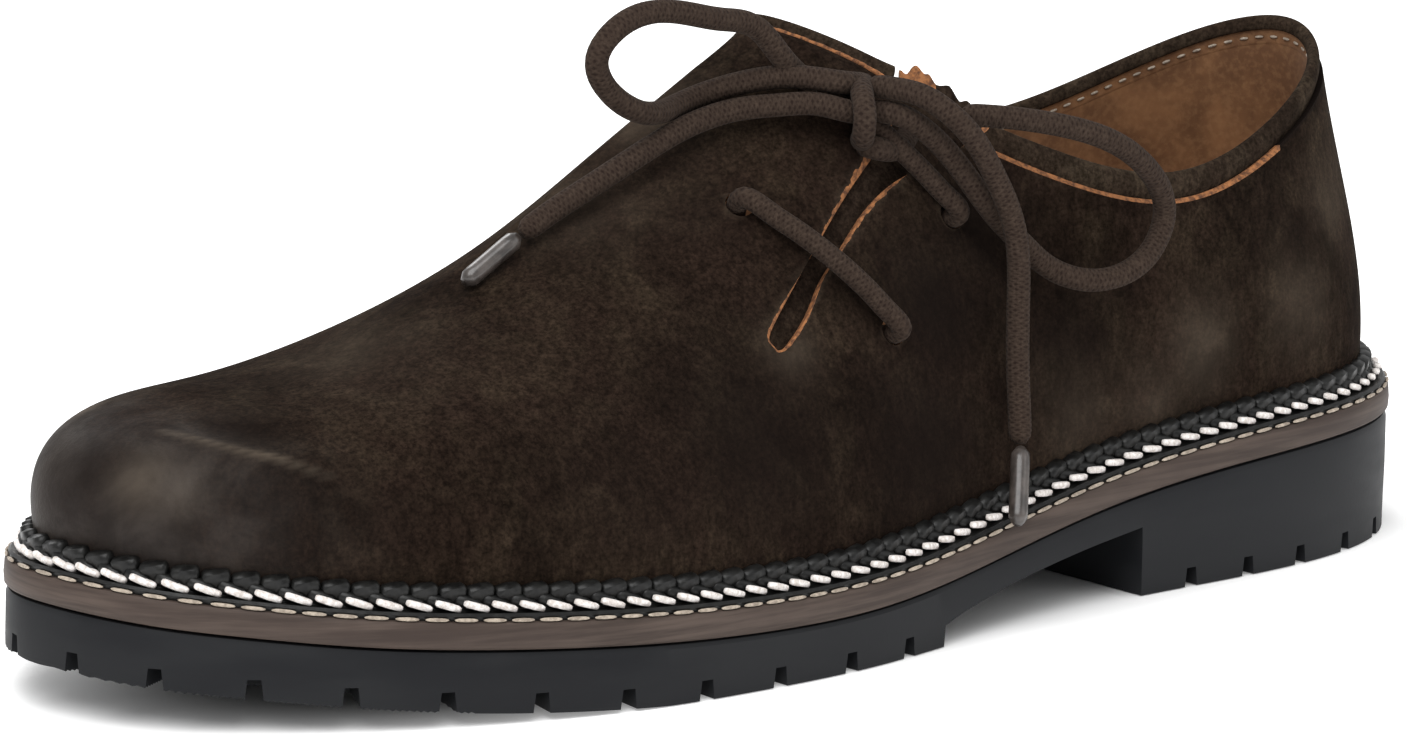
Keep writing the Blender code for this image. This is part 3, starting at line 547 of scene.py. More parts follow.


# %% [markdown]
# ### The brown suede
#
# The hide is dyed dark brown and its nap is brushed, so olive, brown and nearly black clouds lie
# beside each other. At the toe the maker has burnished it: the nap is waxed flat, greyer, and
# shines a little. Painted highlights make it lighter on the toe's ridge, the top and the heel, and
# painted shade makes it darker on the sides and in the hollows. These places are painted into
# a point attribute of the mesh, further below, and the material only reads it.

# %% Suede
NAP = 0.45 * MM
CLOUD = 22 * MM
BLOTCH = 9 * MM


def suede(name, dark, mid, light, painted=False):
    """Brushed leather in three browns; painted adds the burnish, the painted highlights and the painted shade of
    the attribute.
    """
    made, tree, shader = new_material(name, Specular_IOR_Level=0.02, Sheen_Weight=0.012, Sheen_Roughness=0.5)
    shader.inputs["Sheen Tint"].default_value = colour("#b0a48e")
    place = add(tree, "TexCoord"), 3
    clouds = noise(tree, place, CLOUD, 3, 0.5, 0.6)
    blotches = noise(tree, place, BLOTCH, 5, 0.6, 0.4)
    nap = noise(tree, place, NAP, 3, 0.7)
    brushed = noise(tree, place, 2.4 * MM, 4, 0.6, 0.3, (1.0, 1.0, 0.3))
    base = blend_colours(tree, soft_step(tree, clouds, 0.34, 0.66), dark, mid)
    base = blend_colours(tree, soft_step(tree, blotches, 0.38, 0.78, 0.0, 0.8), base, light)
    base = blend_colours(tree, soft_step(tree, brushed, 0.36, 0.7, 0.0, 0.45), base, mid)
    tufts = noise(tree, place, 1.0 * MM, 3, 0.65, 0.2, (1.0, 1.0, 0.4))
    fine = soft_step(tree, nap, 0.28, 0.72, 0.55, 1.55)
    speckle = add(tree, "Math", {0: fine, 1: soft_step(tree, tufts, 0.3, 0.7, 0.72, 1.34)}, operation="MULTIPLY"), 0
    grey = add(tree, "CombineColor", {0: speckle, 1: speckle, 2: speckle}), 0
    base = blend_colours(tree, 1.0, base, grey, "MULTIPLY")
    rough = soft_step(tree, blotches, 0.3, 0.7, 0.96, 0.86)
    if painted:
        paint = add(tree, "Attribute", attribute_name="paint")
        parts = add(tree, "SeparateColor", {0: (paint, 0)})
        burnish, painted_highlight, shade = (parts, 0), (parts, 1), (parts, 2)
        patchy = soft_step(tree, blotches, 0.25, 0.75, 0.75, 1.15)
        ragged = add(tree, "Math", {0: burnish, 1: patchy}, operation="MULTIPLY"), 0
        waxed = blend_colours(tree, soft_step(tree, blotches, 0.35, 0.7), "#272321", "#393431")
        base = blend_colours(tree, soft_step(tree, ragged, 0.05, 1.0, 0.0, 0.92), base, waxed)
        # Painted highlight: lighter, in patches, where the attribute's second channel says.
        highlight_patches = soft_step(tree, blotches, 0.3, 0.7, 0.6, 1.1)
        highlight_patches = add(tree, "Math", {0: painted_highlight, 1: highlight_patches}, operation="MULTIPLY"), 0
        base = blend_colours(tree, highlight_patches, base, "#665b4f")
        # Painted shade: darker towards near-black where the attribute's third channel says.
        base = blend_colours(tree, shade, base, "#15100e")
        waxed_rough = soft_step(tree, ragged, 0.1, 0.9, 0.0, 0.40)
        rough = add(tree, "Math", {0: rough, 1: waxed_rough}, operation="SUBTRACT"), 0
        coat = soft_step(tree, ragged, 0.2, 0.9, 0.0, 0.10)
        tree.links.new(coat[0].outputs[0], shader.inputs["Coat Weight"])
        shader.inputs["Coat Roughness"].default_value = 0.45
    tree.links.new(base[0].outputs[base[1]], shader.inputs["Base Color"])
    tree.links.new(rough[0].outputs[rough[1]], shader.inputs["Roughness"])
    soft = add(tree, "Bump", {"Strength": 0.35, "Distance": 0.7 * MM, "Height": blotches})
    fine = add(tree, "Bump", {"Strength": 0.55, "Distance": 0.25 * MM, "Height": nap, "Normal": (soft, 0)})
    tree.links.new(fine.outputs[0], shader.inputs["Normal"])
    return made


SUEDE = suede("brown suede, brushed", "#150f0b", "#221914", "#31281f", painted=True)
# The band's suede is lighter than the upper's: painted light where the band rolls over the top of the collar.
LIT_BAND_SUEDE = suede("brown suede of the collar band, lightened as painted light", "#201914", "#2d241d", "#40372c")
TONGUE_SUEDE = suede("brown suede of the tongue", "#17110d", "#241c17", "#332a22")

# %% [markdown]
# ### Raw edges, lining, cord, rubber and the rest

# %% Other materials


def raw_edge():
    """Cut vegetable-tanned leather: dry, orange-tan, with loose fibres."""
    made, tree, shader = new_material("cut leather edge, undyed", Roughness=0.85)
    place = add(tree, "TexCoord"), 3
    fibres = noise(tree, place, 0.7 * MM, 3, 0.7)
    base = blend_colours(tree, soft_step(tree, fibres, 0.3, 0.65), "#4a2b17", "#9c653a")
    tree.links.new(base[0].outputs[base[1]], shader.inputs["Base Color"])
    bump = add(tree, "Bump", {"Strength": 0.6, "Distance": 0.3 * MM, "Height": fibres})
    tree.links.new(bump.outputs[0], shader.inputs["Normal"])
    return made


def lining():
    """Vegetable-tanned pigskin lining: tan, cloudy, faintly grained."""
    made, tree, shader = new_material("tan lining leather", Roughness=0.7, Sheen_Weight=0.08)
    place = add(tree, "TexCoord"), 3
    clouds = noise(tree, place, 11 * MM, 4, 0.6, 0.3)
    grain = noise(tree, place, 0.8 * MM, 3, 0.6)
    base = blend_colours(tree, soft_step(tree, clouds, 0.35, 0.66), "#684529", "#8f6541")
    base = blend_colours(tree, soft_step(tree, grain, 0.4, 0.7, 0.0, 0.3), base, "#a67d56")
    tree.links.new(base[0].outputs[base[1]], shader.inputs["Base Color"])
    bump = add(tree, "Bump", {"Strength": 0.3, "Distance": 0.2 * MM, "Height": grain})
    tree.links.new(bump.outputs[0], shader.inputs["Normal"])
    return made


def rubber():
    """Moulded black rubber: matt, charcoal in the light, with a faint mould bloom."""
    made, tree, shader = new_material("moulded black rubber", Specular_IOR_Level=0.18)
    place = add(tree, "TexCoord"), 3
    bloom = noise(tree, place, 9 * MM, 3, 0.55, 0.0, (0.5, 0.5, 2.0))
    grain = noise(tree, place, 0.5 * MM, 2, 0.5)
    base = blend_colours(tree, soft_step(tree, bloom, 0.3, 0.7), "#16171a", "#1f2022")
    tree.links.new(base[0].outputs[base[1]], shader.inputs["Base Color"])
    rough = soft_step(tree, bloom, 0.3, 0.7, 0.5, 0.62)
    tree.links.new(rough[0].outputs[0], shader.inputs["Roughness"])
    bump = add(tree, "Bump", {"Strength": 0.12, "Distance": 0.15 * MM, "Height": grain})
    tree.links.new(bump.outputs[0], shader.inputs["Normal"])
    return made


def cut_edge():
    """Stacked leather midsole, its edge sanded and waxed: brown-grey with streaks along it."""
    made, tree, shader = new_material("sanded leather midsole edge", Roughness=0.6, Specular_IOR_Level=0.25)
    place = add(tree, "TexCoord"), 3
    streaks = noise(tree, place, 2.2 * MM, 4, 0.6, 0.0, (0.12, 0.12, 2.2))
    patches = noise(tree, place, 14 * MM, 3, 0.6)
    base = blend_colours(tree, soft_step(tree, streaks, 0.3, 0.7), "#372d28", "#534740")
    base = blend_colours(tree, soft_step(tree, patches, 0.4, 0.7, 0.0, 0.55), base, "#3b302b")
    tree.links.new(base[0].outputs[base[1]], shader.inputs["Base Color"])
    bump = add(tree, "Bump", {"Strength": 0.4, "Distance": 0.2 * MM, "Height": streaks})
    tree.links.new(bump.outputs[0], shader.inputs["Normal"])
    return made


def plain(name, dark, light, size, rough, bump_depth, **more):
    made, tree, shader = new_material(name, Roughness=rough, **more)
    place = add(tree, "TexCoord"), 3
    grain = noise(tree, place, size, 3, 0.6)
    base = blend_colours(tree, soft_step(tree, grain, 0.3, 0.7), dark, light)
    tree.links.new(base[0].outputs[base[1]], shader.inputs["Base Color"])
    bump = add(tree, "Bump", {"Strength": 0.5, "Distance": bump_depth, "Height": grain})
    tree.links.new(bump.outputs[0], shader.inputs["Normal"])
    return made


def braided_cord():
    """Waxed braided cord: two sets of strands cross, which the piece's own UV map follows."""
    made, tree, shader = new_material("braided cotton cord, waxed", Roughness=0.9, Specular_IOR_Level=0.04, Sheen_Weight=0.02)
    around = add(tree, "UVMap"), 0
    split = add(tree, "SeparateXYZ", {0: around})
    waves = []
    for turn in (1.0, -1.0):
        along = add(tree, "Math", {0: (split, 0), 1: 2 * math.pi / (0.95 * MM)}, operation="MULTIPLY"), 0
        lap = add(tree, "Math", {0: (split, 1), 1: turn * 2 * math.pi * 6}, operation="MULTIPLY"), 0
        total = add(tree, "Math", {0: along, 1: lap}, operation="ADD"), 0
        waves.append((add(tree, "Math", {0: total}, operation="SINE"), 0))
    weave = add(tree, "Math", {0: waves[0], 1: waves[1]}, operation="MAXIMUM"), 0
    fuzz = noise(tree, (add(tree, "TexCoord"), 3), 0.5 * MM, 3, 0.7)
    height = add(tree, "Math", {0: weave, 1: fuzz}, operation="ADD"), 0
    # The cord is darker where the weave lies low: painted shade in the grooves between the strands.
    base = blend_colours(tree, soft_step(tree, weave, -0.9, 1.0), "#261d19", "#352b25")
    base = blend_colours(tree, soft_step(tree, fuzz, 0.4, 0.7, 0.0, 0.5), base, "#4b3f36")
    tree.links.new(base[0].outputs[base[1]], shader.inputs["Base Color"])
    bump = add(tree, "Bump", {"Strength": 0.45, "Distance": 0.16 * MM, "Height": height})
    tree.links.new(bump.outputs[0], shader.inputs["Normal"])
    return made


RAW = raw_edge()
LINING = lining()
RUBBER = rubber()
EDGE = cut_edge()
CORD = braided_cord()
BRAID = plain("black plaited welt leather", "#080808", "#1c1c1b", 1.2 * MM, 0.38, 0.25 * MM, Specular_IOR_Level=0.3)
THREAD = plain("white waxed linen thread", "#cbc2bb", "#f6f1ee", 0.5 * MM, 0.55, 0.2 * MM)
CREAM = plain("cream linen thread", "#85796c", "#b5a898", 0.5 * MM, 0.65, 0.2 * MM)
FILM = plain("clear aglet film over cord", "#2b2623", "#4d4642", 1.6 * MM, 0.35, 0.05 * MM, Coat_Weight=0.5, Coat_Roughness=0.15)
print(len(bpy.data.materials), "materials")

# %% [markdown]
# ## The upper's skin
#
# The suede is one skin: it leaves the feather line on the sole's edge, bulges over the toe, and
# closes on itself along the ridge of the instep. Behind the ridge it opens into the collar. The
# outer and the inner half are two grids on the same fold lines, welded where they meet.

# %% Upper skin
ACROSS = LAST * 12
ROWS = 56
SUEDE_THICK = 0.0012
RIDGE = 0.0066
CORNER_REACH = 0.011


def skin_mesh():
    folds = np.linspace(0, LAST, ACROSS + 1)
    heights = np.linspace(0, 1, ROWS + 1)
    work = bmesh.new()
    for side in (-1, 1):
        sheet_mesh(upper_points(folds, heights, side), work)
    bmesh.ops.remove_doubles(work, verts=work.verts, dist=WELD * 20)
    bmesh.ops.recalc_face_normals(work, faces=work.faces)
    corner = Vector(upper_points(np.array([APEX + 0.3]), np.array([1.0]), 1)[0, 0])
    near = [v for v in work.verts if not v.is_boundary and v.co.y > RIDGE and (v.co - corner).length < CORNER_REACH]
    for _ in range(30):
        bmesh.ops.smooth_vert(work, verts=near, factor=0.5, use_axis_x=True, use_axis_y=True, use_axis_z=True)
    core = Vector((0, 0, 0.04))
    if sum(f.normal.dot(f.calc_center_median() - core) for f in work.faces) < 0:
        bmesh.ops.reverse_faces(work, faces=work.faces)
    work.normal_update()
    return work


skin = skin_mesh()
SKIN_TREE = BVHTree.FromBMesh(skin)
print("skin:", len(skin.verts), "points,", len([e for e in skin.edges if e.is_boundary]), "edges on its rims")

# %% [markdown]
# ## Creases and dents
#
# Worn and lasted leather is never an even shell. The photograph shows a sharp little ridge across
# the toe with a hollow above it, and soft folds over the ball of the foot. Each is a short line in
# millimetres on the skin with a height and a width, and pushes the skin along its own normal.

# %% Creases
CREASES = [
    # height mm, width mm, line of (x, y, z) in mm
    (0.55, 1.3, [(-133.8, -2.4, 47.4), (-130.3, -10.3, 46.5), (-126.1, -15.8, 45.2), (-121.9, -19.9, 44.3), (-115.6, -26.7, 41.3)]),
    (-0.70, 4.5, [(-129.7, 4.8, 49.4), (-126.8, -5.5, 48.8), (-120.4, -13.6, 47.7), (-112.0, -19.1, 47.4), (-105.6, -24.5, 46.1)]),
    (0.45, 4.0, [(-100.5, 1.9, 52.8), (-100.4, -6.5, 52.1), (-100.5, -16.1, 50.3), (-99.6, -24.9, 47.2)]),
    (-0.60, 6.0, [(-109.0, -26.2, 44.3), (-104.0, -30.7, 41.9), (-98.3, -34.3, 40.1), (-89.7, -36.9, 39.5)]),
    (0.45, 5.0, [(-92.0, -20.5, 50.3), (-89.2, -28.0, 47.3), (-85.4, -34.1, 43.7)]),
    (-0.50, 6.0, [(-61.1, -36.3, 46.3), (-69.1, -40.8, 39.4), (-77.5, -43.3, 32.3), (-83.0, -43.6, 26.2)]),
    (0.50, 5.5, [(-44.4, -37.5, 48.0), (-50.0, -41.8, 40.7), (-57.1, -45.1, 33.5), (-62.7, -46.6, 27.5)]),
]


def line_distance(points, line):
    """Distance of each point to a line of straight pieces, and the share of the way along it."""
    best = np.full(len(points), 1e9)
    share = np.zeros(len(points))
    line = np.asarray(line, float)
    for i, (a, b) in enumerate(zip(line, line[1:])):
        run = b - a
        t = np.clip((points - a) @ run / (run @ run), 0, 1)
        far = np.linalg.norm(points - (a + t[:, None] * run), axis=1)
        near = far < best
        best[near] = far[near]
        share[near] = (i + t[near]) / (len(line) - 1)
    return best, share


def crease(work):
    points = np.array([v.co for v in work.verts]) / MM
    lift = np.zeros(len(points))
    for height, width, line in CREASES:
        far, share = line_distance(points, line)
        lift += height * np.exp(-((far / width) ** 2)) * np.sin(np.pi * np.clip(share, 0.04, 0.96)) ** 0.5
    for v, up in zip(work.verts, lift):
        v.co += v.normal * up * MM
    work.normal_update()
    print("creases move the skin by", round(lift.min(), 2), "to", round(lift.max(), 2), "mm")


crease(skin)

# %% [markdown]
# ## Cutters for the slit and the lace holes
#
# The slit and the four lace holes are cut the way the maker does it, through everything at once.
# A ray from the outer side finds the skin, and each cutter is built there. Its faces carry the
# material of a raw leather edge, so that the cut shows it.

# %% Cutters
SLIT_FACING = np.array([-0.10, -0.83, 0.55])
SLIT_FACING /= np.linalg.norm(SLIT_FACING)
CUT_REACH = 0.009
FLARE_FRONT = 3.2
FLARE_REAR = 2.3
END_FLARE = 3.2


def find(x, z):
    """The skin's point and normal, for a spot seen from the outer side."""
    hit = SKIN_TREE.ray_cast(Vector((x, -0.2, z)), Vector((0, 1, 0)))
    return np.array(hit[0]), np.array(hit[1])


def slit_cutter():
    table = np.array(SLIT) * (LENGTH, BALL_WIDTH, INSTEP_HEIGHT, SLIT_MOUTH)
    at = np.linspace(0, len(table) - 1, 8 * len(table) - 7)
    line = natural(np.arange(len(table)), table, at)
    centre, half = line[:, :3], line[:, 3:]
    along = np.gradient(centre, axis=0)
    across = np.cross(along, SLIT_FACING)
    across /= np.linalg.norm(across, axis=1)[:, None]
    section = [
        # half widths, millimetres of flare, millimetres along the facing
        (-1, -FLARE_FRONT, 0.9),
        (-1, -FLARE_FRONT, 9.0),
        (1, FLARE_REAR, 9.0),
        (1, FLARE_REAR, 0.9),
        (1, 0.0, -0.75),
        (1, 0.0, -9.0),
        (-1, 0.0, -9.0),
        (-1, 0.0, -0.75),
    ]
    if across[len(across) // 2, 0] < 0:
        across = -across
    rings = []
    for i, (c, w, h) in enumerate(zip(centre, across, half)):
        rough = 1 + 0.16 * math.sin(i * 1.9) + 0.12 * math.sin(i * 4.3)
        flare = MM * min(1.0, float(h[0]) / 0.0014) * rough
        down = along[i] / np.linalg.norm(along[i]) * max(0.0, 1 - i / 4) * END_FLARE * MM
        ring = [c + w * (h * sign + out * flare) + SLIT_FACING * deep * MM for sign, out, deep in section]
        rings.append([spot - down if out else spot for spot, (_, out, _) in zip(ring, section)])
    work = sheet_mesh(np.array([closed_ring(np.array(r)) for r in rings]))
    bmesh.ops.remove_doubles(work, verts=work.verts, dist=WELD)
    for ring in (rings[0], rings[-1]):
        corners = [min(work.verts, key=lambda v: (v.co - Vector(spot)).length) for spot in ring]
        for part in ((0, 1, 2, 3), (0, 3, 4, 7), (7, 4, 5, 6)):
            work.faces.new([corners[i] for i in part])
    return helper_object("slit cutter", work)


def hole_cutter(name, centre, facing):
    work = bmesh.new()
    turn = Vector(facing).to_track_quat("Z", "Y").to_matrix().to_4x4()
    place = Matrix.Translation(Vector(centre)) @ turn
    radius = HOLE_WIDE / 2
    bmesh.ops.create_cone(work, cap_ends=True, segments=28, radius1=radius, radius2=radius, depth=CUT_REACH, matrix=place)
    return helper_object(name, work)


def helper_object(name, work):
    bmesh.ops.recalc_face_normals(work, faces=work.faces)
    for face in work.faces:
        face.material_index = 1
    bmesh.ops.translate(work, vec=-MIDDLE, verts=work.verts)
    mesh = bpy.data.meshes.new(name)
    work.to_mesh(mesh)
    work.free()
    mesh.materials.append(SUEDE)
    mesh.materials.append(RAW)
    made = bpy.data.objects.new(name, mesh)
    bpy.context.scene.collection.objects.link(made)
    made.hide_render = True
    return made


HOLE_PLACES = {name: find(x * LENGTH, z * INSTEP_HEIGHT) for name, (x, z) in HOLES.items()}
cutters = [slit_cutter()] + [hole_cutter(name, *spot) for name, spot in HOLE_PLACES.items()]


def cut(piece):
    for cutter in cutters:
        modifier = piece.modifiers.new(cutter.name, "BOOLEAN")
        modifier.operation = "DIFFERENCE"
        modifier.solver = "EXACT"
        modifier.object = cutter


print(len(cutters), "cutters")

# %% [markdown]
# ## The suede upper
#
# The skin gets its thickness with a Solidify modifier that grows inwards, whose rim shows the raw
# orange edge of the leather. The places where the suede is burnished, and the painted highlights and
# painted shade, are painted as soft spots into a point attribute before that.

# %% Suede upper
SPOTS = [
    # part: 0 burnished, 1 painted highlight, 2 painted shade. amount, radius mm, (x, y, z) in mm
    (0, 0.95, 24, (-146, 10, 36)),
    (0, 0.90, 22, (-140, -8, 34)),
    (0, 0.65, 20, (-131, -20, 34)),
    (0, 0.30, 18, (-120, -28, 32)),
    (0, 0.85, 24, (-142, 24, 34)),
    (0, 0.55, 24, (-124, 38, 30)),
    # Painted highlights on the toe, along the top of the vamp and instep, on the heel, and one on the side.
    (1, 0.42, 5.5, (-141, -8, 41)),
    (1, 0.22, 5, (-137, -13, 39)),
    (1, 0.45, 3.5, (-131, 22, 46)),
    (1, 0.16, 12, (-89, 3, 55)),
    (1, 0.26, 10, (-23, 5, 89)),
    (1, 0.16, 12, (-41, 0, 77)),
    (1, 0.28, 9, (78, -35, 43)),
    (1, 0.22, 9, (66, -35, 34)),
    (1, 0.18, 10, (48, -35, 32)),
    (1, 0.22, 10, (106, -33, 48)),
    (1, 0.20, 9, (120, -25, 65)),
    (1, 0.30, 5, (-23, -36, 54)),
    # Painted shade on the toe and in its hollow, along the outer side and the quarter, and beside the slit.
    (2, 0.50, 7, (-144, 3, 41)),
    (2, 0.65, 9, (-122, -11, 48)),
    (2, 0.35, 12, (-112, -32, 34)),
    (2, 0.45, 20, (-63, -45, 34)),
    (2, 0.75, 20, (-36, -43, 40)),
    (2, 0.85, 20, (6, -41, 34)),
    (2, 0.80, 16, (12, -33, 58)),
    (2, 0.70, 13, (28, -30, 70)),
    (2, 0.60, 14, (46, -34, 46)),
    (2, 0.35, 10, (104, -31, 62)),
    (2, 0.40, 9, (-26, -15, 76)),
    (2, 0.55, 9, (12, -20, 86)),
]

RIM_LOW = 0.060
RIM_FROM = 0.0040
RIM_TO = 0.104
RIM_CHAMFER = 0.0008
BURNISH_END = -0.085


def paint(work):
    layer = work.verts.layers.float_color.new("paint")
    points = np.array([v.co for v in work.verts]) / MM
    amounts = np.zeros((len(points), 4))
    amounts[:, 3] = 1
    for part, amount, radius, centre in SPOTS:
        far = np.linalg.norm(points - centre, axis=1)
        amounts[:, part] = np.maximum(amounts[:, part], amount * np.exp(-((far / radius) ** 2)))
    # A painted highlight runs along the little ridge across the toe, the first crease.
    ridge, share = line_distance(points, CREASES[0][2])
    amounts[:, 1] = np.maximum(amounts[:, 1], 1.0 * np.exp(-((ridge / 0.7) ** 2)) * np.sin(np.pi * share) ** 0.5)
    for v, row in zip(work.verts, amounts):
        # Painted shade: the rim behind RIM_TO gets a dark line along the seam to the collar band.
        if v.is_boundary and v.co.z > RIM_LOW and v.co.x >= RIM_TO:
            row[2] = 0.9
        v[layer] = row


def bevel_collar(piece):
    """The upper's cut edge at the collar: its last row of faces becomes a raw chamfer."""
    rim = [v for v in skin.verts if v.is_boundary and v.co.z > RIM_LOW and RIM_FROM < v.co.x < RIM_TO]
    tree = KDTree(len(rim))
    for i, v in enumerate(rim):
        tree.insert(v.co - MIDDLE, i)
    tree.balance()
    work = bmesh.new()
    work.from_mesh(piece.data)
    layer = work.verts.layers.float_color["paint"]
    for v in work.verts:
        # Points past the burnished toe that carry burnish lose it and the painted shade, and keep a faint painted
        # highlight.
        if v[layer][0] > 0.1 and v.co.x > BURNISH_END:
            v[layer] = (0, 0.1, 0, 1)
        spot, i, far = tree.find(v.co)
        if far < 2 * WELD:
            part = min(1.0, max(0.3, (v.co.x - 0.030) / 0.020))
            v.co -= rim[i].normal * RIM_CHAMFER * part * (0.9 + 0.25 * math.sin(v.co.x / MM * 1.7))
            for face in v.link_faces:
                face.material_index = 1
    for face in work.faces:
        spot = face.calc_center_median() + MIDDLE
        if spot.z > RIM_LOW and spot.x >= RIM_TO:
            face.material_index = 0
    work.to_mesh(piece.data)
    work.free()


def make_upper():
    work = skin.copy()
    paint(work)
    piece = finish_piece("suede_upper", work, [SUEDE, RAW], outwards=False)
    wall = piece.modifiers.new("wall", "SOLIDIFY")
    wall.thickness = SUEDE_THICK
    wall.offset = -1
    wall.material_offset_rim = 1
    cut(piece)
    bake_modifiers(piece, smooth=20)
    bevel_collar(piece)
    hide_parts("upper")
    return piece


def make_heel_line():
    """The cut edge of the heel strip, a thin orange line down the back."""
    heights = np.linspace(0.14, 0.62, 40)
    line = upper_points(np.array([LAST - 0.16]), heights, -1)[0]
    line[:, 0] += 0.00002
    return tube("heel_line", line, 0.0009, RAW, 0.6)[0]


def make_collar_line():
    """In front of the slit the upper's raw edge stands up as a rough orange rim."""
    folds = np.linspace(APEX, APEX + 1.24, 60)
    line = upper_points(folds, np.array([0.99, 1.0]), -1)
    rim, up = line[:, 1], line[:, 1] - line[:, 0]
    outwards = np.cross(np.gradient(rim, axis=0), up)
    outwards /= np.linalg.norm(outwards, axis=1)[:, None]
    rough = np.sin(folds * 41) + 0.6 * np.sin(folds * 97)
    return tube("collar_line", rim + outwards * (0.10 + 0.05 * rough)[:, None] * MM, 0.0010, RAW, 0.5)[0]


suede_upper = make_upper()

# %% [markdown]
# ## Lining and collar band
#
# Under the suede lies the tan lining, glued to it. At the collar a suede band folds over both
# edges: outside it comes out from under the raw edge of the upper, rolls over the top and is
# stitched down on the lining. The band is one profile carried round the collar.

# %% Lining
LINING_GAP = 0.00002


def collar_frames(each):
    """Round the collar: points of the raw edge, outward normals, and the way up to the rim."""
    folds = np.linspace(APEX, LAST, (LAST - APEX) * each + 1)
    heights = np.array([0.985, 1.0])
    frames = []
    for side in (-1, 1):
        edge = upper_points(folds, heights, side)
        along = np.gradient(edge[:, 1], axis=0)
        normal = np.cross(along, edge[:, 1] - edge[:, 0]) * -side
        normal /= np.linalg.norm(normal, axis=1)[:, None]
        rise = natural(np.arange(len(BAND)), np.array(BAND), folds - APEX) * BAND_HEIGHT * (1, -side, 1)
        frames.append((edge[:, 1], normal, rise))
    (a, n, r), (b, m, s) = frames
    share = np.linspace(0, 1, each + 1)[:, None]
    m[: each + 1] = n[2] * (1 - share) + m[each] * share
    n[:2] = n[2]
    m /= np.linalg.norm(m, axis=1)[:, None]
    joined = [np.concatenate([p, q[-2:0:-1]]) for p, q in ((a, b), (n, m), (r, s))]
    joined[1] = smooth_ring(joined[1], 3)
    return joined


def smooth_ring(rows, times):
    for _ in range(times):
        rows = (np.roll(rows, 1, axis=0) + 2 * rows + np.roll(rows, -1, axis=0)) / 4
    return rows / np.linalg.norm(rows, axis=1)[:, None]


def make_lining():
    work = skin.copy()
    corner = Vector(upper_points(np.array([APEX + 0.3]), np.array([1.0]), 1)[0, 0])
    for v in work.verts:
        v.co -= v.normal * (SUEDE_THICK + LINING_GAP)
        if v.co.y > RIDGE - 0.001:
            v.co.z -= 0.0018 * math.exp(-(((v.co - corner).length / 0.006) ** 2))
    piece = finish_piece("lining", work, [LINING, RAW], outwards=False)
    wall = piece.modifiers.new("wall", "SOLIDIFY")
    wall.thickness = WALL - SUEDE_THICK
    wall.offset = -1
    cut(piece)
    bake_modifiers(piece)
    return piece


lining_piece = make_lining()

# %% Collar band
BAND_PROFILE = [
    # share of the rise, depth mm inwards from the skin
    (-0.50, 1.30),
    (0.00, 1.12),
    (0.25, 0.66),
    (0.55, 0.45),
    (0.80, 0.66),
    (0.95, 1.12),
    (1.00, 1.70),
    (0.95, 2.30),
    (0.80, 2.72),
    (0.60, 2.84),
    (0.50, 2.70),
    (0.48, 2.40),
    (0.46, 2.14),
    (0.00, 2.10),
    (-0.14, 1.96),
    (-0.50, 1.60),
]
LINING_FROM = 12
BAND_EACH = 14


def make_band():
    edge, normal, rise = collar_frames(BAND_EACH)
    up, deep = np.array(BAND_PROFILE).T
    at = np.linspace(0, len(up) - 1, 3 * len(up) - 2)
    profile = natural(np.arange(len(up)), np.column_stack([up, deep]), at)
    profile = closed_ring(profile)
    rings = edge[:, None] + rise[:, None] * profile[None, :, :1] - normal[:, None] * profile[None, :, 1:] * MM
    work = sheet_mesh(closed_ring(rings))
    around = len(rings) + 1
    for face in work.faces:
        if min(v.index // around for v in face.verts) >= 3 * LINING_FROM:
            face.material_index = 2
    piece = finish_piece("collar_band", work, [LIT_BAND_SUEDE, RAW, LINING])
    slit = piece.modifiers.new("slit", "BOOLEAN")
    slit.operation = "DIFFERENCE"
    slit.solver = "EXACT"
    slit.object = cutters[0]
    bake_modifiers(piece)
    return piece


collar_band = make_band()

# %% [markdown]
# ## Tongue and insole
#
# The tongue is a suede flap under the slit. Its tip is cut in a zigzag with pinking shears, and
# where it curls, the tan inner side shows. The insole is a flat leather sock: the plain solid has
# the right shape already, so it only gets its finish.

# %% Tongue
TONGUE_COLUMNS = 48
TONGUE_ROWS = 30
TIP_ROWS = 8
TEETH = 5


def tongue_places():
    t_key, front, rear = np.array(TONGUE).T
    t = np.linspace(t_key[0], 1, TONGUE_ROWS + 1)
    share = np.linspace(0, 1, TONGUE_COLUMNS + 1)
    ends = natural(t_key, np.column_stack([front, rear]), t)
    rows = [upper_points(a + (b - a) * share, np.array([row]), -1)[:, 0] for row, (a, b) in zip(t, ends)]
    k = ends[-1, 0] + (ends[-1, 1] - ends[-1, 0]) * share
    rise = natural(np.arange(len(BAND)), np.array(BAND), k - APEX)
    rise /= np.linalg.norm(rise, axis=1)[:, None]
    wave = np.abs((share * TEETH + 0.12 * np.sin(share * 17)) % 1 - 0.5) * 4 - 1
    wave = np.sin(wave * 1.3) * (0.75 + 0.4 * np.sin(share * 11 + 1))
    corner = TIP_CORNER * np.abs(2 * share - 1) ** 3
    for i in range(1, TIP_ROWS + 1):
        length = (TONGUE_TIP - corner + TIP_TOOTH * wave * (i / TIP_ROWS) ** 3) * i / TIP_ROWS
        rows.append(rows[TONGUE_ROWS] + rise * length[:, None])
    return np.array(rows)


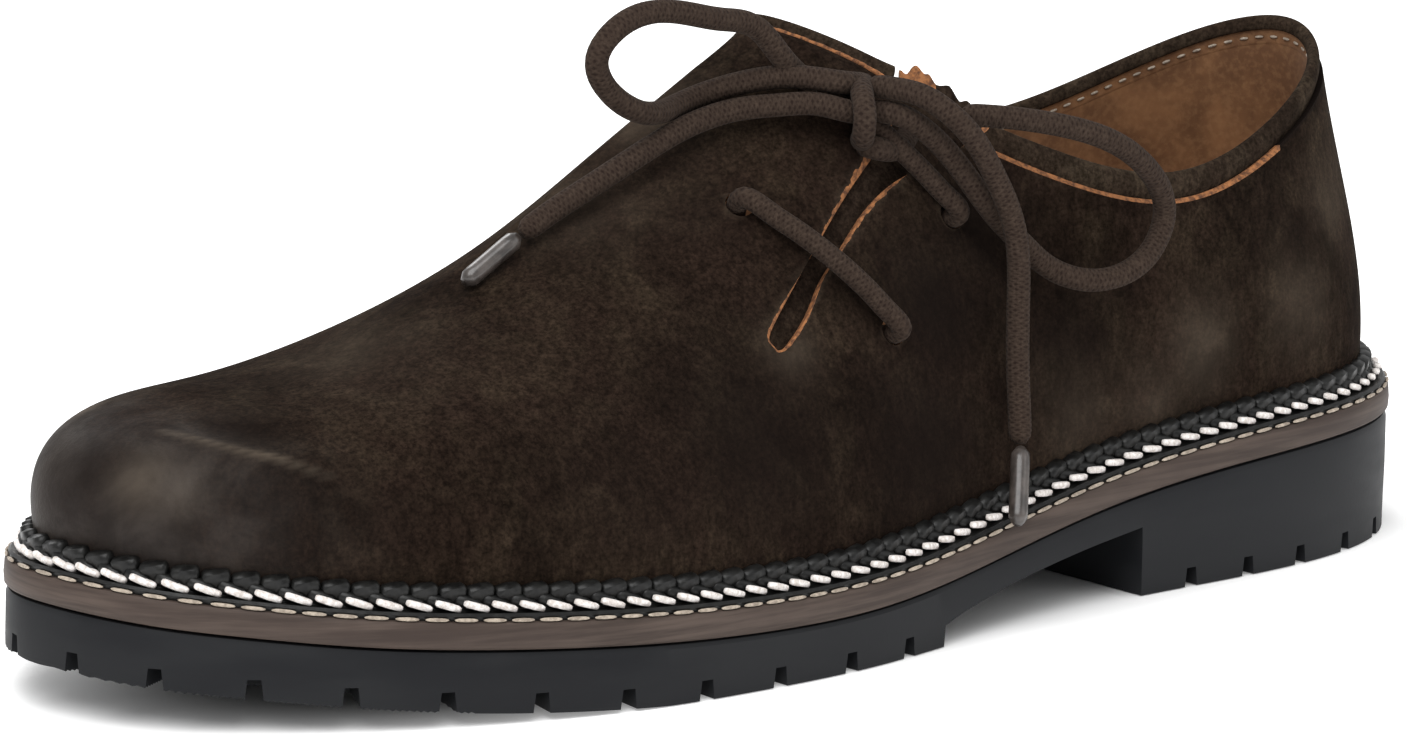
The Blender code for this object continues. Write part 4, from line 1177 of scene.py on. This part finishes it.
def make_tongue():
    places = tongue_places()
    across = np.gradient(places, axis=1)
    upward = np.gradient(places, axis=0)
    normal = np.cross(across, upward)
    normal /= np.linalg.norm(normal, axis=2)[:, :, None]
    normal[TONGUE_ROWS:] = normal[TONGUE_ROWS - 1]
    if normal[:, :, 1].mean() > 0:
        normal = -normal
    places = places - normal * (WALL + TONGUE_GAP)
    work = sheet_mesh(places)
    work.normal_update()
    if sum(f.normal.y for f in work.faces) > 0:
        bmesh.ops.reverse_faces(work, faces=work.faces)
    rows = len(places)
    for face in work.faces:
        spots = [divmod(v.index, rows) for v in face.verts]
        if min(row for _, row in spots) > TONGUE_ROWS + 1 and max(at for at, _ in spots) <= TONGUE_COLUMNS * 0.48:
            face.material_index = 1
    piece = finish_piece("suede_tongue", work, [TONGUE_SUEDE, RAW, LINING], outwards=False)
    wall = piece.modifiers.new("wall", "SOLIDIFY")
    wall.thickness = TONGUE_THICK
    wall.offset = -1
    wall.material_offset_rim = 1
    bake_modifiers(piece)
    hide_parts("tongue")
    return piece


tongue_piece = make_tongue()
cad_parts["insole"].data.materials.clear()
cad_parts["insole"].data.materials.append(LINING)

# %% [markdown]
# ## Midsole
#
# The midsole is a leather plate whose sanded edge runs all the way round. Only its edge shows, so
# it is a ring: one profile with slightly rounded corners, carried round the outline.

# %% Midsole
RING_DEEP = 0.020
AROUND_STEP = 2


def outline(distance):
    return closed_ring(inset(distance)[::AROUND_STEP])


def ring_mesh(profile, height):
    """Carries a profile of (inset, height) points round the sole; height(x) is its foot."""
    columns = []
    for deep, up in profile:
        line = outline(deep)
        columns.append(np.column_stack([line, height(line[:, 0]) + up]))
    return sheet_mesh(closed_ring(np.array(columns)).transpose(1, 0, 2))


def make_midsole():
    round_off = 0.0007
    profile = [
        (RING_DEEP, 0),
        (0.0012, 0),
        (0.0004, -0.0002),
        (0.0001, -round_off),
        (0.0, -0.0018),
        (-0.0001, -MIDSOLE_THICK * 0.6),
        (0.0, -MIDSOLE_THICK + 0.0004),
        (0.0004, -MIDSOLE_THICK),
        (RING_DEEP, -MIDSOLE_THICK),
    ]
    piece = finish_piece("midsole_edge", ring_mesh(profile, sole_top), [EDGE])
    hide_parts("midsole")
    return piece


midsole_piece = make_midsole()

# %% [markdown]
# ## Rubber outsole
#
# The rubber is a thick plate with the outline of the shoe. Its underside is cut by one long
# profile, seen from the side: the toe lifts, the tread is flat, then come the step of the arch
# and the heel's breast. Small wedges cut the notches of the edge, and flat blocks the pockets of
# the tread. Fine teeth run across the lifted toe.

# %% Outsole
RUBBER_INSET = 0.0003
BELOW = -0.004
TOOTH_PITCH = 0.0011
TOOTH_DEEP = 0.0003
TEETH_END = -0.098


def plate_mesh():
    """Side wall of the sole as rings, closed by two rings of faces that meet on its spine."""
    top = lambda x: sole_top(x) - MIDSOLE_THICK - GAP
    spine = lambda x: np.clip(x, -0.105, 0.115)
    rows = []
    for deep, share in ((0.0012, 1.0), (0.0004, 0.985), (0.0, 0.94), (-0.0001, 0.6), (0.0, 0.35), (0.0, 0.0)):
        line = outline(RUBBER_INSET + deep)
        rows.append(np.column_stack([line, BELOW + (top(line[:, 0]) - BELOW) * share]))
    caps = []
    for ring, share in ((rows[0], 1.0), (rows[-1], 0.0)):
        inner = []
        for part in (0.5, 1.0):
            x = ring[:, 0] + (spine(ring[:, 0]) - ring[:, 0]) * part
            y = ring[:, 1] * (1 - part)
            inner.append(np.column_stack([x, y, BELOW + (top(x) - BELOW) * share]))
        caps.append(inner)
    places = np.array(caps[0][::-1] + rows + caps[1])
    return sheet_mesh(places.transpose(1, 0, 2))


def underside_cutter():
    first = (FRONT_END - 0.5) * LENGTH
    second = (HEEL_BREAST - 0.5) * LENGTH
    teeth = np.arange(-LENGTH / 2 - 0.002, TEETH_END, TOOTH_PITCH / 2)
    front = np.concatenate([teeth, np.linspace(TEETH_END, first, 30)])
    front_z = sole_bottom(front, "front")
    front_z[: len(teeth)] += TOOTH_DEEP * (np.arange(len(teeth)) % 2)
    arch = np.linspace(first, second, 16)
    heel = np.array([second, LENGTH / 2 + 0.004])
    x = np.concatenate([front, arch, heel])
    z = np.concatenate([front_z, sole_bottom(arch, "arch"), sole_bottom(heel, "heel")])
    lean = 0.0003
    x[len(front) - 1] -= lean
    x[len(front) + len(arch) - 1] -= lean
    wide = 0.08
    low = np.full(len(x), BELOW - 0.004)
    section = [np.column_stack([x, np.full(len(x), y), h]) for y, h in ((-wide, low), (-wide, z), (wide, z), (wide, low))]
    work = sheet_mesh(closed_ring(np.array(section)).transpose(1, 0, 2))
    bmesh.ops.remove_doubles(work, verts=work.verts, dist=WELD)
    bmesh.ops.holes_fill(work, edges=[e for e in work.edges if e.is_boundary], sides=0)
    return helper_object("underside", work)


def notch_cutters():
    step = np.linalg.norm(np.roll(PLAN, -1, axis=0) - PLAN, axis=1)
    run = np.concatenate([[0], np.cumsum(step)])[:-1]
    around = step.sum()
    outer = PLAN[: HEEL_AT + 1]
    back = outer[:, 0] > -0.1
    start = np.interp(FRONT_LAST_NOTCH * LENGTH, outer[back, 0], run[: HEEL_AT + 1][back])
    first = np.interp(HEEL_FIRST_NOTCH * LENGTH, outer[back, 0], run[: HEEL_AT + 1][back])
    at = [start - NOTCH_PITCH * i for i in range(FRONT_NOTCHES)]
    at += [first + HEEL_PITCH * i for i in range(HEEL_NOTCHES)]
    work = bmesh.new()
    for s in at:
        i = int(np.searchsorted(run, s % around)) % len(PLAN)
        spot, out = PLAN[i], OUTWARD[i]
        floor = 0.0 if spot[0] > 0.04 else float(sole_bottom(spot[:1], "front")[0])
        turn = Matrix.Rotation(math.atan2(out[1], out[0]), 4, "Z")
        reach = LUG_REACH + 0.004
        middle = spot + out * (0.004 - reach / 2)
        place = Matrix.Translation((*middle, floor + LUG_DEPTH / 2 - 0.001)) @ turn
        size = Matrix.Diagonal((reach, NOTCH_WIDE, LUG_DEPTH + 0.002, 1))
        made = bmesh.ops.create_cube(work, size=1, matrix=place @ size)
        tops = [v for v in made["verts"] if v.co.z > floor]
        centre = Vector((*middle, 0))
        along = Vector((-out[1], out[0], 0))
        for v in tops:
            v.co -= along * ((v.co - centre).dot(along)) * 0.36
    return helper_object("notches", work)


def pocket_cutters():
    work = bmesh.new()
    for start, end, count, rim in ((-0.345, -0.015, 6, 0.021), (0.232, 0.430, 3, 0.021)):
        line = inset(rim)
        edges = np.linspace(start * LENGTH, end * LENGTH, count + 1)
        for a, b in zip(edges, edges[1:]):
            near = line[(line[:, 0] > a) & (line[:, 0] < b), 1]
            low, high = near[near < 0].max(), near[near > 0].min()
            top = LUG_DEPTH + (0.0 if a > 0 else float(sole_bottom(np.array([a]), "front")[0]))
            size = Matrix.Diagonal((b - a - BAR_WIDE, high - low, top + 0.002, 1))
            place = Matrix.Translation(((a + b) / 2, (low + high) / 2, top / 2 - 0.001))
            bmesh.ops.create_cube(work, size=1, matrix=place @ size)
    return helper_object("pockets", work)


def make_outsole():
    piece = finish_piece("rubber_outsole", plate_mesh(), [RUBBER])
    tools = [underside_cutter(), notch_cutters(), pocket_cutters()]
    for tool in tools:
        tool.data.materials.clear()
        tool.data.materials.append(RUBBER)
        modifier = piece.modifiers.new(tool.name, "BOOLEAN")
        modifier.operation = "DIFFERENCE"
        modifier.solver = "EXACT"
        modifier.object = tool
    bake_modifiers(piece, tools)
    piece.data.set_sharp_from_angle(angle=math.radians(30))
    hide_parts("outsole")
    return piece


outsole_piece = make_outsole()

# %% [markdown]
# ## Plaited welt
#
# Between the upper and the edge lies a black leather welt. Its inner part is plaited: leather
# scales overlap in two rows and lean on the upper. Beside them run bold white stitches, each a
# little aslant like the strands of a rope, and at the very edge a fine cream row.

# %% Welt
STITCH_PITCH = 0.0049


def welt_frames(count):
    """Even steps round the feather line: point, outward direction, and the wall's lean at three heights."""
    folds = np.linspace(0, LAST, LAST * 16 + 1)
    rows = []
    for side in (-1, 1):
        line = upper_points(folds, np.linspace(0, 0.4, 9), side)
        shares = np.clip(fold_values(folds)[0 if side < 0 else 1][0][:, 0], 0, 1)
        foot, out = side_points(inset(FEATHER_INSET), side, shares)
        order = range(len(folds)) if side < 0 else range(len(folds) - 2, 0, -1)
        for i in order:
            flat = np.array([out[i, 0], out[i, 1], 0])
            lean = ((line[i] - line[i, 0]) * flat).sum(axis=1)
            height = line[i, :, 2] - line[i, 0, 2]
            at = [np.interp(h, height, lean) for h in (0.0, WELT_HEIGHT / 2, WELT_HEIGHT)]
            rows.append([*foot[i], out[i, 0], out[i, 1], *at])
    rows = closed_ring(np.array(rows))
    run = np.concatenate([[0], np.cumsum(np.linalg.norm(np.diff(rows[:, :2], axis=0), axis=1))])
    if count is None:
        count = int(round(run[-1] / STITCH_PITCH))
    even = np.arange(count) * run[-1] / count
    return np.column_stack([np.interp(even, run, rows[:, i]) for i in range(rows.shape[1])])


def make_welt():
    frames = closed_ring(welt_frames(420))
    foot, out = frames[:, :2], frames[:, 3 - 1 : 4]
    out = frames[:, 2:4]
    low, mid, high = frames[:, 4], frames[:, 5], frames[:, 6]
    profile = [
        (FEATHER_INSET - 0.0010, 0.0),
        (FEATHER_INSET - 0.0007, 0.0008),
        (FEATHER_INSET - 0.0012, WELT_BED - 0.0001),
        (WELT_STEP + 0.0014, WELT_BED - 0.0003),
        (WELT_STEP, WELT_BED),
    ]
    columns = []
    for wide, up in profile:
        xy = foot + out * wide
        columns.append(np.column_stack([xy, sole_top(xy[:, 0]) + up]))
    for lean, up in ((high + 0.0012, WELT_HEIGHT * 0.8), (high + 0.0002, WELT_HEIGHT * 0.86), (mid, WELT_HEIGHT / 2), (low, 0.0)):
        xy = foot + out * lean[:, None]
        columns.append(np.column_stack([xy, sole_top(xy[:, 0]) + up]))
    work = sheet_mesh(closed_ring(np.array(columns)).transpose(1, 0, 2))
    piece = finish_piece("welt_strip", work, [BRAID])
    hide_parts("welt")
    return piece


def rod(work, centre, along, up, size, lean=0.0, square=0.7, pitch=0.0, flat=1.0):
    """A small rounded rod of that length, width and height; lean turns it about up, pitch dips its end."""
    side = up.cross(along).normalized()
    turn = Matrix((along, side, up)).transposed().to_4x4() @ Matrix.Rotation(lean, 4, "Z")
    place = Matrix.Translation(centre) @ turn @ Matrix.Rotation(pitch, 4, "Y")
    made = bmesh.ops.create_uvsphere(work, u_segments=8, v_segments=6, radius=0.5)
    for v in made["verts"]:
        x, y, z = v.co.z, v.co.x, v.co.y
        x = math.copysign(abs(2 * x) ** square / 2, x)
        y = math.copysign(abs(2 * y) ** flat / 2, y)
        z = math.copysign(abs(2 * z) ** flat / 2, z)
        v.co = place @ Vector((x * size[0], y * size[1], z * size[2]))


def row_of_rods(name, wide, up, size, lean, material, count, offset=0.0, tilt=0.0, square=0.7, pitch=0.0, flat=1.0):
    work = bmesh.new()
    frames = welt_frames(count * 4)
    for i in range(count):
        at = int(round((i + offset) * 4)) % len(frames)
        spot = frames[at]
        ahead = frames[(at + 1) % len(frames)]
        before = frames[at - 1]
        out = Vector((spot[2], spot[3], 0)).normalized()
        reach = wide(spot) if callable(wide) else wide
        centre = Vector((*(spot[:2] + spot[2:4] * reach), 0))
        centre.z = float(sole_top(centre.x)) + up
        along = Vector((*(ahead[:2] - before[:2]), 0)).normalized()
        slope = float(sole_top(centre.x + 0.001) - sole_top(centre.x - 0.001)) / 0.002
        along.z = slope * along.x
        along.normalize()
        above = Matrix.Rotation(tilt, 3, along) @ out.cross(along)
        if above.z < 0:
            above = -above
        sign = 1 if out.cross(along).z > 0 else -1
        rod(work, centre, along, above, size, lean * sign, square, pitch, flat)
    return finish_piece(name, work, [material], smooth=60)


welt_piece = make_welt()
perimeter = len(welt_frames(None))
print(perimeter, "stitches round the welt")
wall_at = lambda share: (lambda spot: spot[6] + share)
row_of_rods(
    "braid_upper_row", wall_at(0.0009), WELT_HEIGHT * 0.90, (0.0050, 0.0029, 0.0031),
    0.1, BRAID, perimeter, 0.5, 0.25, 0.4, -0.16, 0.6,
)
row_of_rods(
    "braid_lower_row", wall_at(0.0015), WELT_HEIGHT * 0.56, (0.0050, 0.0026, 0.0026),
    -0.2, BRAID, perimeter, 0.0, 0.25, 0.5, 0.25, 0.75,
)
row_of_rods(
    "white_stitches", WELT_STEP + 0.0007, WELT_BED + 0.0008, (0.0049, 0.0016, 0.0013),
    0.15, THREAD, perimeter, 0.25, 0.0, 0.35, 0.26, 0.6,
)
row_of_rods(
    "edge_stitches", FEATHER_INSET - 0.0004, 0.0003, (0.0042, 0.0007, 0.0007),
    0.0, CREAM, perimeter, 0.75,
)

# %% [markdown]
# ## Laces
#
# One braided cord threads the four holes and is tied in a bow. Each visible stretch is a round
# tube along a smooth path. Its own map, in metres along the cord and in turns round it, carries
# the braid, which therefore bends with the lace.

# %% Laces
CORD_SIDES = 16
# Bow: the cord's path as shares of LENGTH, BALL_WIDTH and INSTEP_HEIGHT
BOW = {
    "lace_end_front": [
        # x, y, z
        (0.0054, -0.2014, 0.8779),
        (-0.0063, -0.1779, 0.8877),
        (-0.0267, -0.1429, 0.8877),
        (-0.0475, -0.1096, 0.8814),
        (-0.0767, -0.0801, 0.8576),
        (-0.1091, -0.0627, 0.8143),
        (-0.1335, -0.0442, 0.7740),
        (-0.1572, -0.0239, 0.7336),
        (-0.1809, -0.0089, 0.6925),
    ],
    "lace_end_rear": [
        # x, y, z
        (0.0360, -0.2424, 0.9113),
        (0.0422, -0.2727, 0.9046),
        (0.0508, -0.3068, 0.8817),
        (0.0627, -0.3371, 0.8378),
        (0.0772, -0.3542, 0.7643),
        (0.0858, -0.3655, 0.7052),
        (0.0917, -0.3684, 0.6393),
        (0.0931, -0.3693, 0.5525),
        (0.0917, -0.3778, 0.4332),
        (0.0898, -0.3930, 0.3321),
        (0.0884, -0.3987, 0.3111),
    ],
    "lace_loop_front": [
        # x, y, z
        (0.0045, -0.1773, 0.9244),
        (-0.0099, -0.1402, 0.9303),
        (-0.0389, -0.0852, 0.9208),
        (-0.0644, -0.0464, 0.8960),
        (-0.1132, -0.0758, 0.8884),
        (-0.1389, -0.0758, 0.9351),
        (-0.1488, -0.0852, 0.9885),
        (-0.1333, -0.0947, 1.0429),
        (-0.1007, -0.1042, 1.0582),
        (-0.0640, -0.1089, 1.0372),
        (-0.0352, -0.1070, 1.0151),
        (-0.0204, -0.1184, 0.9673),
    ],
    "lace_loop_rear": [
        # x, y, z
        (0.0363, -0.2386, 0.8674),
        (0.0502, -0.2576, 0.8416),
        (0.0647, -0.2765, 0.7977),
        (0.0772, -0.3049, 0.7385),
        (0.0957, -0.3106, 0.6794),
        (0.1155, -0.3125, 0.6307),
        (0.1304, -0.3229, 0.5935),
        (0.1455, -0.3447, 0.5716),
        (0.1706, -0.3655, 0.5677),
        (0.1967, -0.3731, 0.6021),
        (0.2116, -0.3655, 0.6670),
        (0.1941, -0.3788, 0.7471),
        (0.1617, -0.3741, 0.8101),
        (0.1287, -0.3504, 0.8416),
        (0.0957, -0.3030, 0.8578),
        (0.0752, -0.2708, 0.8626),
    ],
    "lace_knot": [
        # x, y, z
        (0.0207, -0.1918, 0.9210),
        (0.0160, -0.2140, 0.9081),
        (0.0097, -0.2405, 0.8793),
        (0.0057, -0.2519, 0.8479),
        (0.0061, -0.2462, 0.8317),
    ],
    "aglet_front": [
        # x, y, z
        (-0.1831, -0.0091, 0.6881),
        (-0.2217, -0.0070, 0.6216),
    ],
    "aglet_rear": [
        # x, y, z
        (0.0871, -0.4044, 0.3044),
        (0.0627, -0.4773, 0.1947),
    ],
}

# Where a strand runs on out of sight under the knot: points before its first and after its last
TUCKS = {
    "lace_end_front": ([(0.0211, -0.1989, 0.8690)], []),
    "lace_end_rear": ([(0.0252, -0.1941, 0.9151)], []),
    "lace_loop_rear": ([(0.0257, -0.1989, 0.8729)], []),
    "lace_loop_front": ([(0.0347, -0.1610, 0.9100)], [(0.0065, -0.0900, 0.9178)]),
}
STRAP = [
    # x, y, z
    (0.0419, -0.1278, 0.8986),
    (0.0256, -0.1752, 0.9125),
    (0.0112, -0.2273, 0.8975),
    (0.0072, -0.2462, 0.8705),
    (0.0079, -0.2424, 0.8478),
    (0.0156, -0.2131, 0.8280),
    (0.0289, -0.1705, 0.8219),
]
KNOT_TURN = [
    # x, y, z
    (0.0214, -0.1847, 0.8156),
    (0.0236, -0.2131, 0.8122),
    (0.0354, -0.2159, 0.8043),
    (0.0539, -0.1941, 0.8083),
    (0.0666, -0.1705, 0.8241),
]


def tube(name, path, wide, material, taper=0.0):
    path = np.asarray(path)
    run = np.concatenate([[0], np.cumsum(np.linalg.norm(np.diff(path, axis=0), axis=1))])
    along = np.gradient(path, axis=0)
    along /= np.linalg.norm(along, axis=1)[:, None]
    side = np.cross(along[0], (0.3, 0.2, 1.0))
    rows = []
    angles = np.linspace(0, 2 * np.pi, CORD_SIDES + 1)
    for i, (spot, way) in enumerate(zip(path, along)):
        side = side - way * (side @ way)
        side /= np.linalg.norm(side)
        other = np.cross(way, side)
        end = min(run[i], run[-1] - run[i])
        radius = wide / 2 * (1 - taper * max(0.0, 1 - end / (wide * 0.5)) ** 2)
        rows.append(spot + (np.cos(angles)[:, None] * side + np.sin(angles)[:, None] * other) * radius)
    work = sheet_mesh(np.array(rows))
    layer = work.loops.layers.uv.new("UVMap")
    work.verts.ensure_lookup_table()
    wide_count = len(path) - 1
    grid = {}
    for face in work.faces:
        for loop in face.loops:
            grid.setdefault(loop.vert.index, []).append(loop)
    index = 0
    for v in work.verts:
        row, column = divmod(v.index, len(path))
        for loop in grid.get(v.index, ()):
            loop[layer].uv = (run[column], row / CORD_SIDES)
    bmesh.ops.remove_doubles(work, verts=work.verts, dist=WELD)
    ends = [e for e in work.edges if e.is_boundary]
    bmesh.ops.holes_fill(work, edges=ends, sides=0)
    bmesh.ops.recalc_face_normals(work, faces=work.faces)
    piece = finish_piece(name, work, [material], smooth=60, outwards=False)
    return piece, float(run[-1])


def smooth_path(points, step=0.0012):
    points = np.asarray(points)
    run = np.concatenate([[0], np.cumsum(np.linalg.norm(np.diff(points, axis=0), axis=1))])
    count = max(4, int(run[-1] / step))
    if len(points) < 3:
        share = np.linspace(0, 1, count)[:, None]
        return points[0] + (points[1] - points[0]) * share
    return natural(run, points, np.linspace(0, run[-1], count))


def bar_path(start, end, lift):
    share = np.linspace(0, 1, 9)
    a, b = (np.array(HOLES[n]) * (LENGTH, INSTEP_HEIGHT) for n in (start, end))
    points = []
    for s in share:
        x, z = a + (b - a) * s
        spot, facing = find(x, z)
        facing = SLIT_FACING * 0.6 + facing * 0.4
        facing /= np.linalg.norm(facing)
        points.append(spot + facing * (LACE / 2 + 0.0003 + lift * np.sin(np.pi * s)))
        if s in (0, 1):
            down = spot - find(x, z)[1] * 0.0042
            points.insert(0 if s == 0 else len(points), down)
    return smooth_path(points, 0.001)


sizes = np.array((LENGTH, BALL_WIDTH, INSTEP_HEIGHT))
shift = np.array(MIDDLE)
made = {}
for name, path in BOW.items():
    wide = {"aglet_front": 0.0035, "aglet_rear": 0.0035}.get(name, LACE)
    before, after = TUCKS.get(name, ([], []))
    path = STRAP if name == "lace_knot" else path
    line = smooth_path(np.array(before + path + after) * sizes)
    material = FILM if name.startswith("aglet") else CORD
    piece, length = tube(name + "_dressed", line, wide, material, 0.5)
    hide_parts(name)
    made[name] = (piece, length, line - shift)
for name, start, end, lift in (("lace_bar_low", "front_low", "rear_low", 0.0012), ("lace_bar_high", "rear_high", "front_high", 0.0)):
    piece, length = tube(name + "_dressed", bar_path(start, end, lift), LACE * 0.9, CORD)
    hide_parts(name)

made["knot_turn"] = tube("knot_turn", smooth_path(np.array(KNOT_TURN) * sizes), LACE, CORD, 0.5) + ([],)

for name, far_end, extra in (
    ("lace_end_front", "fitting", ["aglet_front"]),
    ("lace_end_rear", "fitting", ["aglet_rear"]),
    ("lace_loop_front", "knot", ["lace_knot", "knot_turn"]),
    ("lace_loop_rear", "object", []),
):
    piece, length, line = made[name]
    print(name, "is", round(length / MM, 1), "mm long")

# %% [markdown]
# ## Lining stitches
#
# A row of short cream stitches holds the collar band down on the lining.

# %% Lining stitches
RIM_STITCH_PITCH = 0.0031


def make_rim_stitches():
    edge, normal, rise = collar_frames(40)
    line = edge + rise * 0.18 - normal * (WALL + 0.0003)
    line = closed_ring(line)
    run = np.concatenate([[0], np.cumsum(np.linalg.norm(np.diff(line, axis=0), axis=1))])
    count = int(run[-1] / RIM_STITCH_PITCH)
    mouth = np.array(SLIT[8]) * (LENGTH, BALL_WIDTH, INSTEP_HEIGHT, SLIT_MOUTH)
    work = bmesh.new()
    for i in range(count):
        at = (i + 0.5) * run[-1] / count
        spots = [np.array([np.interp(at + d, run, line[:, c]) for c in range(3)]) for d in (-0.0006, 0, 0.0006)]
        if np.linalg.norm(spots[1] - mouth[:3]) < mouth[3] + 0.0012:
            continue
        facing = np.array([np.interp(at, run, closed_ring(normal)[:, c]) for c in range(3)])
        along = Vector(spots[2] - spots[0]).normalized()
        up = -Vector(facing)
        up = (up - along * up.dot(along)).normalized()
        rod(work, Vector(spots[1]), along, up, (0.0017, 0.0006, 0.0005))
    return finish_piece("lining_stitches", work, [CREAM], smooth=60)


make_rim_stitches()
make_heel_line()
make_collar_line()
for cutter in cutters:
    bpy.data.objects.remove(cutter, do_unlink=True)

# %% [markdown]
# ## Studio
#
# A white floor and a white room, one large soft lamp from the left and above, and a weaker one
# from the right, as in a catalogue picture. The floor has a painted glow that grows away from the
# shoe and lifts its shadow.

# %% Studio


def studio():
    work = bmesh.new()
    bmesh.ops.create_grid(work, x_segments=1, y_segments=1, size=6.0)
    mesh = bpy.data.meshes.new("floor")
    work.to_mesh(mesh)
    work.free()
    made, tree, shader = new_material("pale floor, brighter away from the shoe as painted light", Roughness=0.9, Base_Color=colour("#f4f4f4"))
    place = add(tree, "TexCoord"), 3
    # Painted glow: the floor gives off light that grows away from the shoe, lifting its shadow and leaving it dark
    # at the sole.
    oval = add(tree, "Mapping", {0: place, 3: (1 / 0.150, 1 / 0.048, 0)}), 0
    away = add(tree, "VectorMath", {0: oval}, operation="LENGTH"), 1
    glow = soft_step(tree, away, 0.75, 1.35, 0.0, 0.45)
    tree.links.new(glow[0].outputs[0], shader.inputs["Emission Strength"])
    shader.inputs["Emission Color"].default_value = colour("#ffffff")
    mesh.materials.append(made)
    floor = bpy.data.objects.new("floor", mesh)
    bpy.context.scene.collection.objects.link(floor)
    floor.location.z = -0.0002
    world = bpy.data.worlds.new("white room")
    world.use_nodes = True
    world.node_tree.nodes["Background"].inputs[0].default_value = colour("#ffffff")
    world.node_tree.nodes["Background"].inputs[1].default_value = 0.55
    bpy.context.scene.world = world
    for name, spot, size, power in (
        ("key", (-0.8, -0.5, 1.4), 1.5, 26.0),
        ("fill", (0.9, -1.2, 0.9), 1.2, 4.0),
        ("back", (0.3, 1.2, 1.1), 0.8, 9.0),
    ):
        data = bpy.data.lights.new(name, "AREA")
        data.energy = power
        data.size = size
        lamp = bpy.data.objects.new(name, data)
        bpy.context.scene.collection.objects.link(lamp)
        lamp.location = spot
        lamp.rotation_euler = (Vector((0, 0, 0.05)) - Vector(spot)).to_track_quat("-Z", "Y").to_euler()
    bpy.context.scene.view_settings.view_transform = "Standard"


studio()
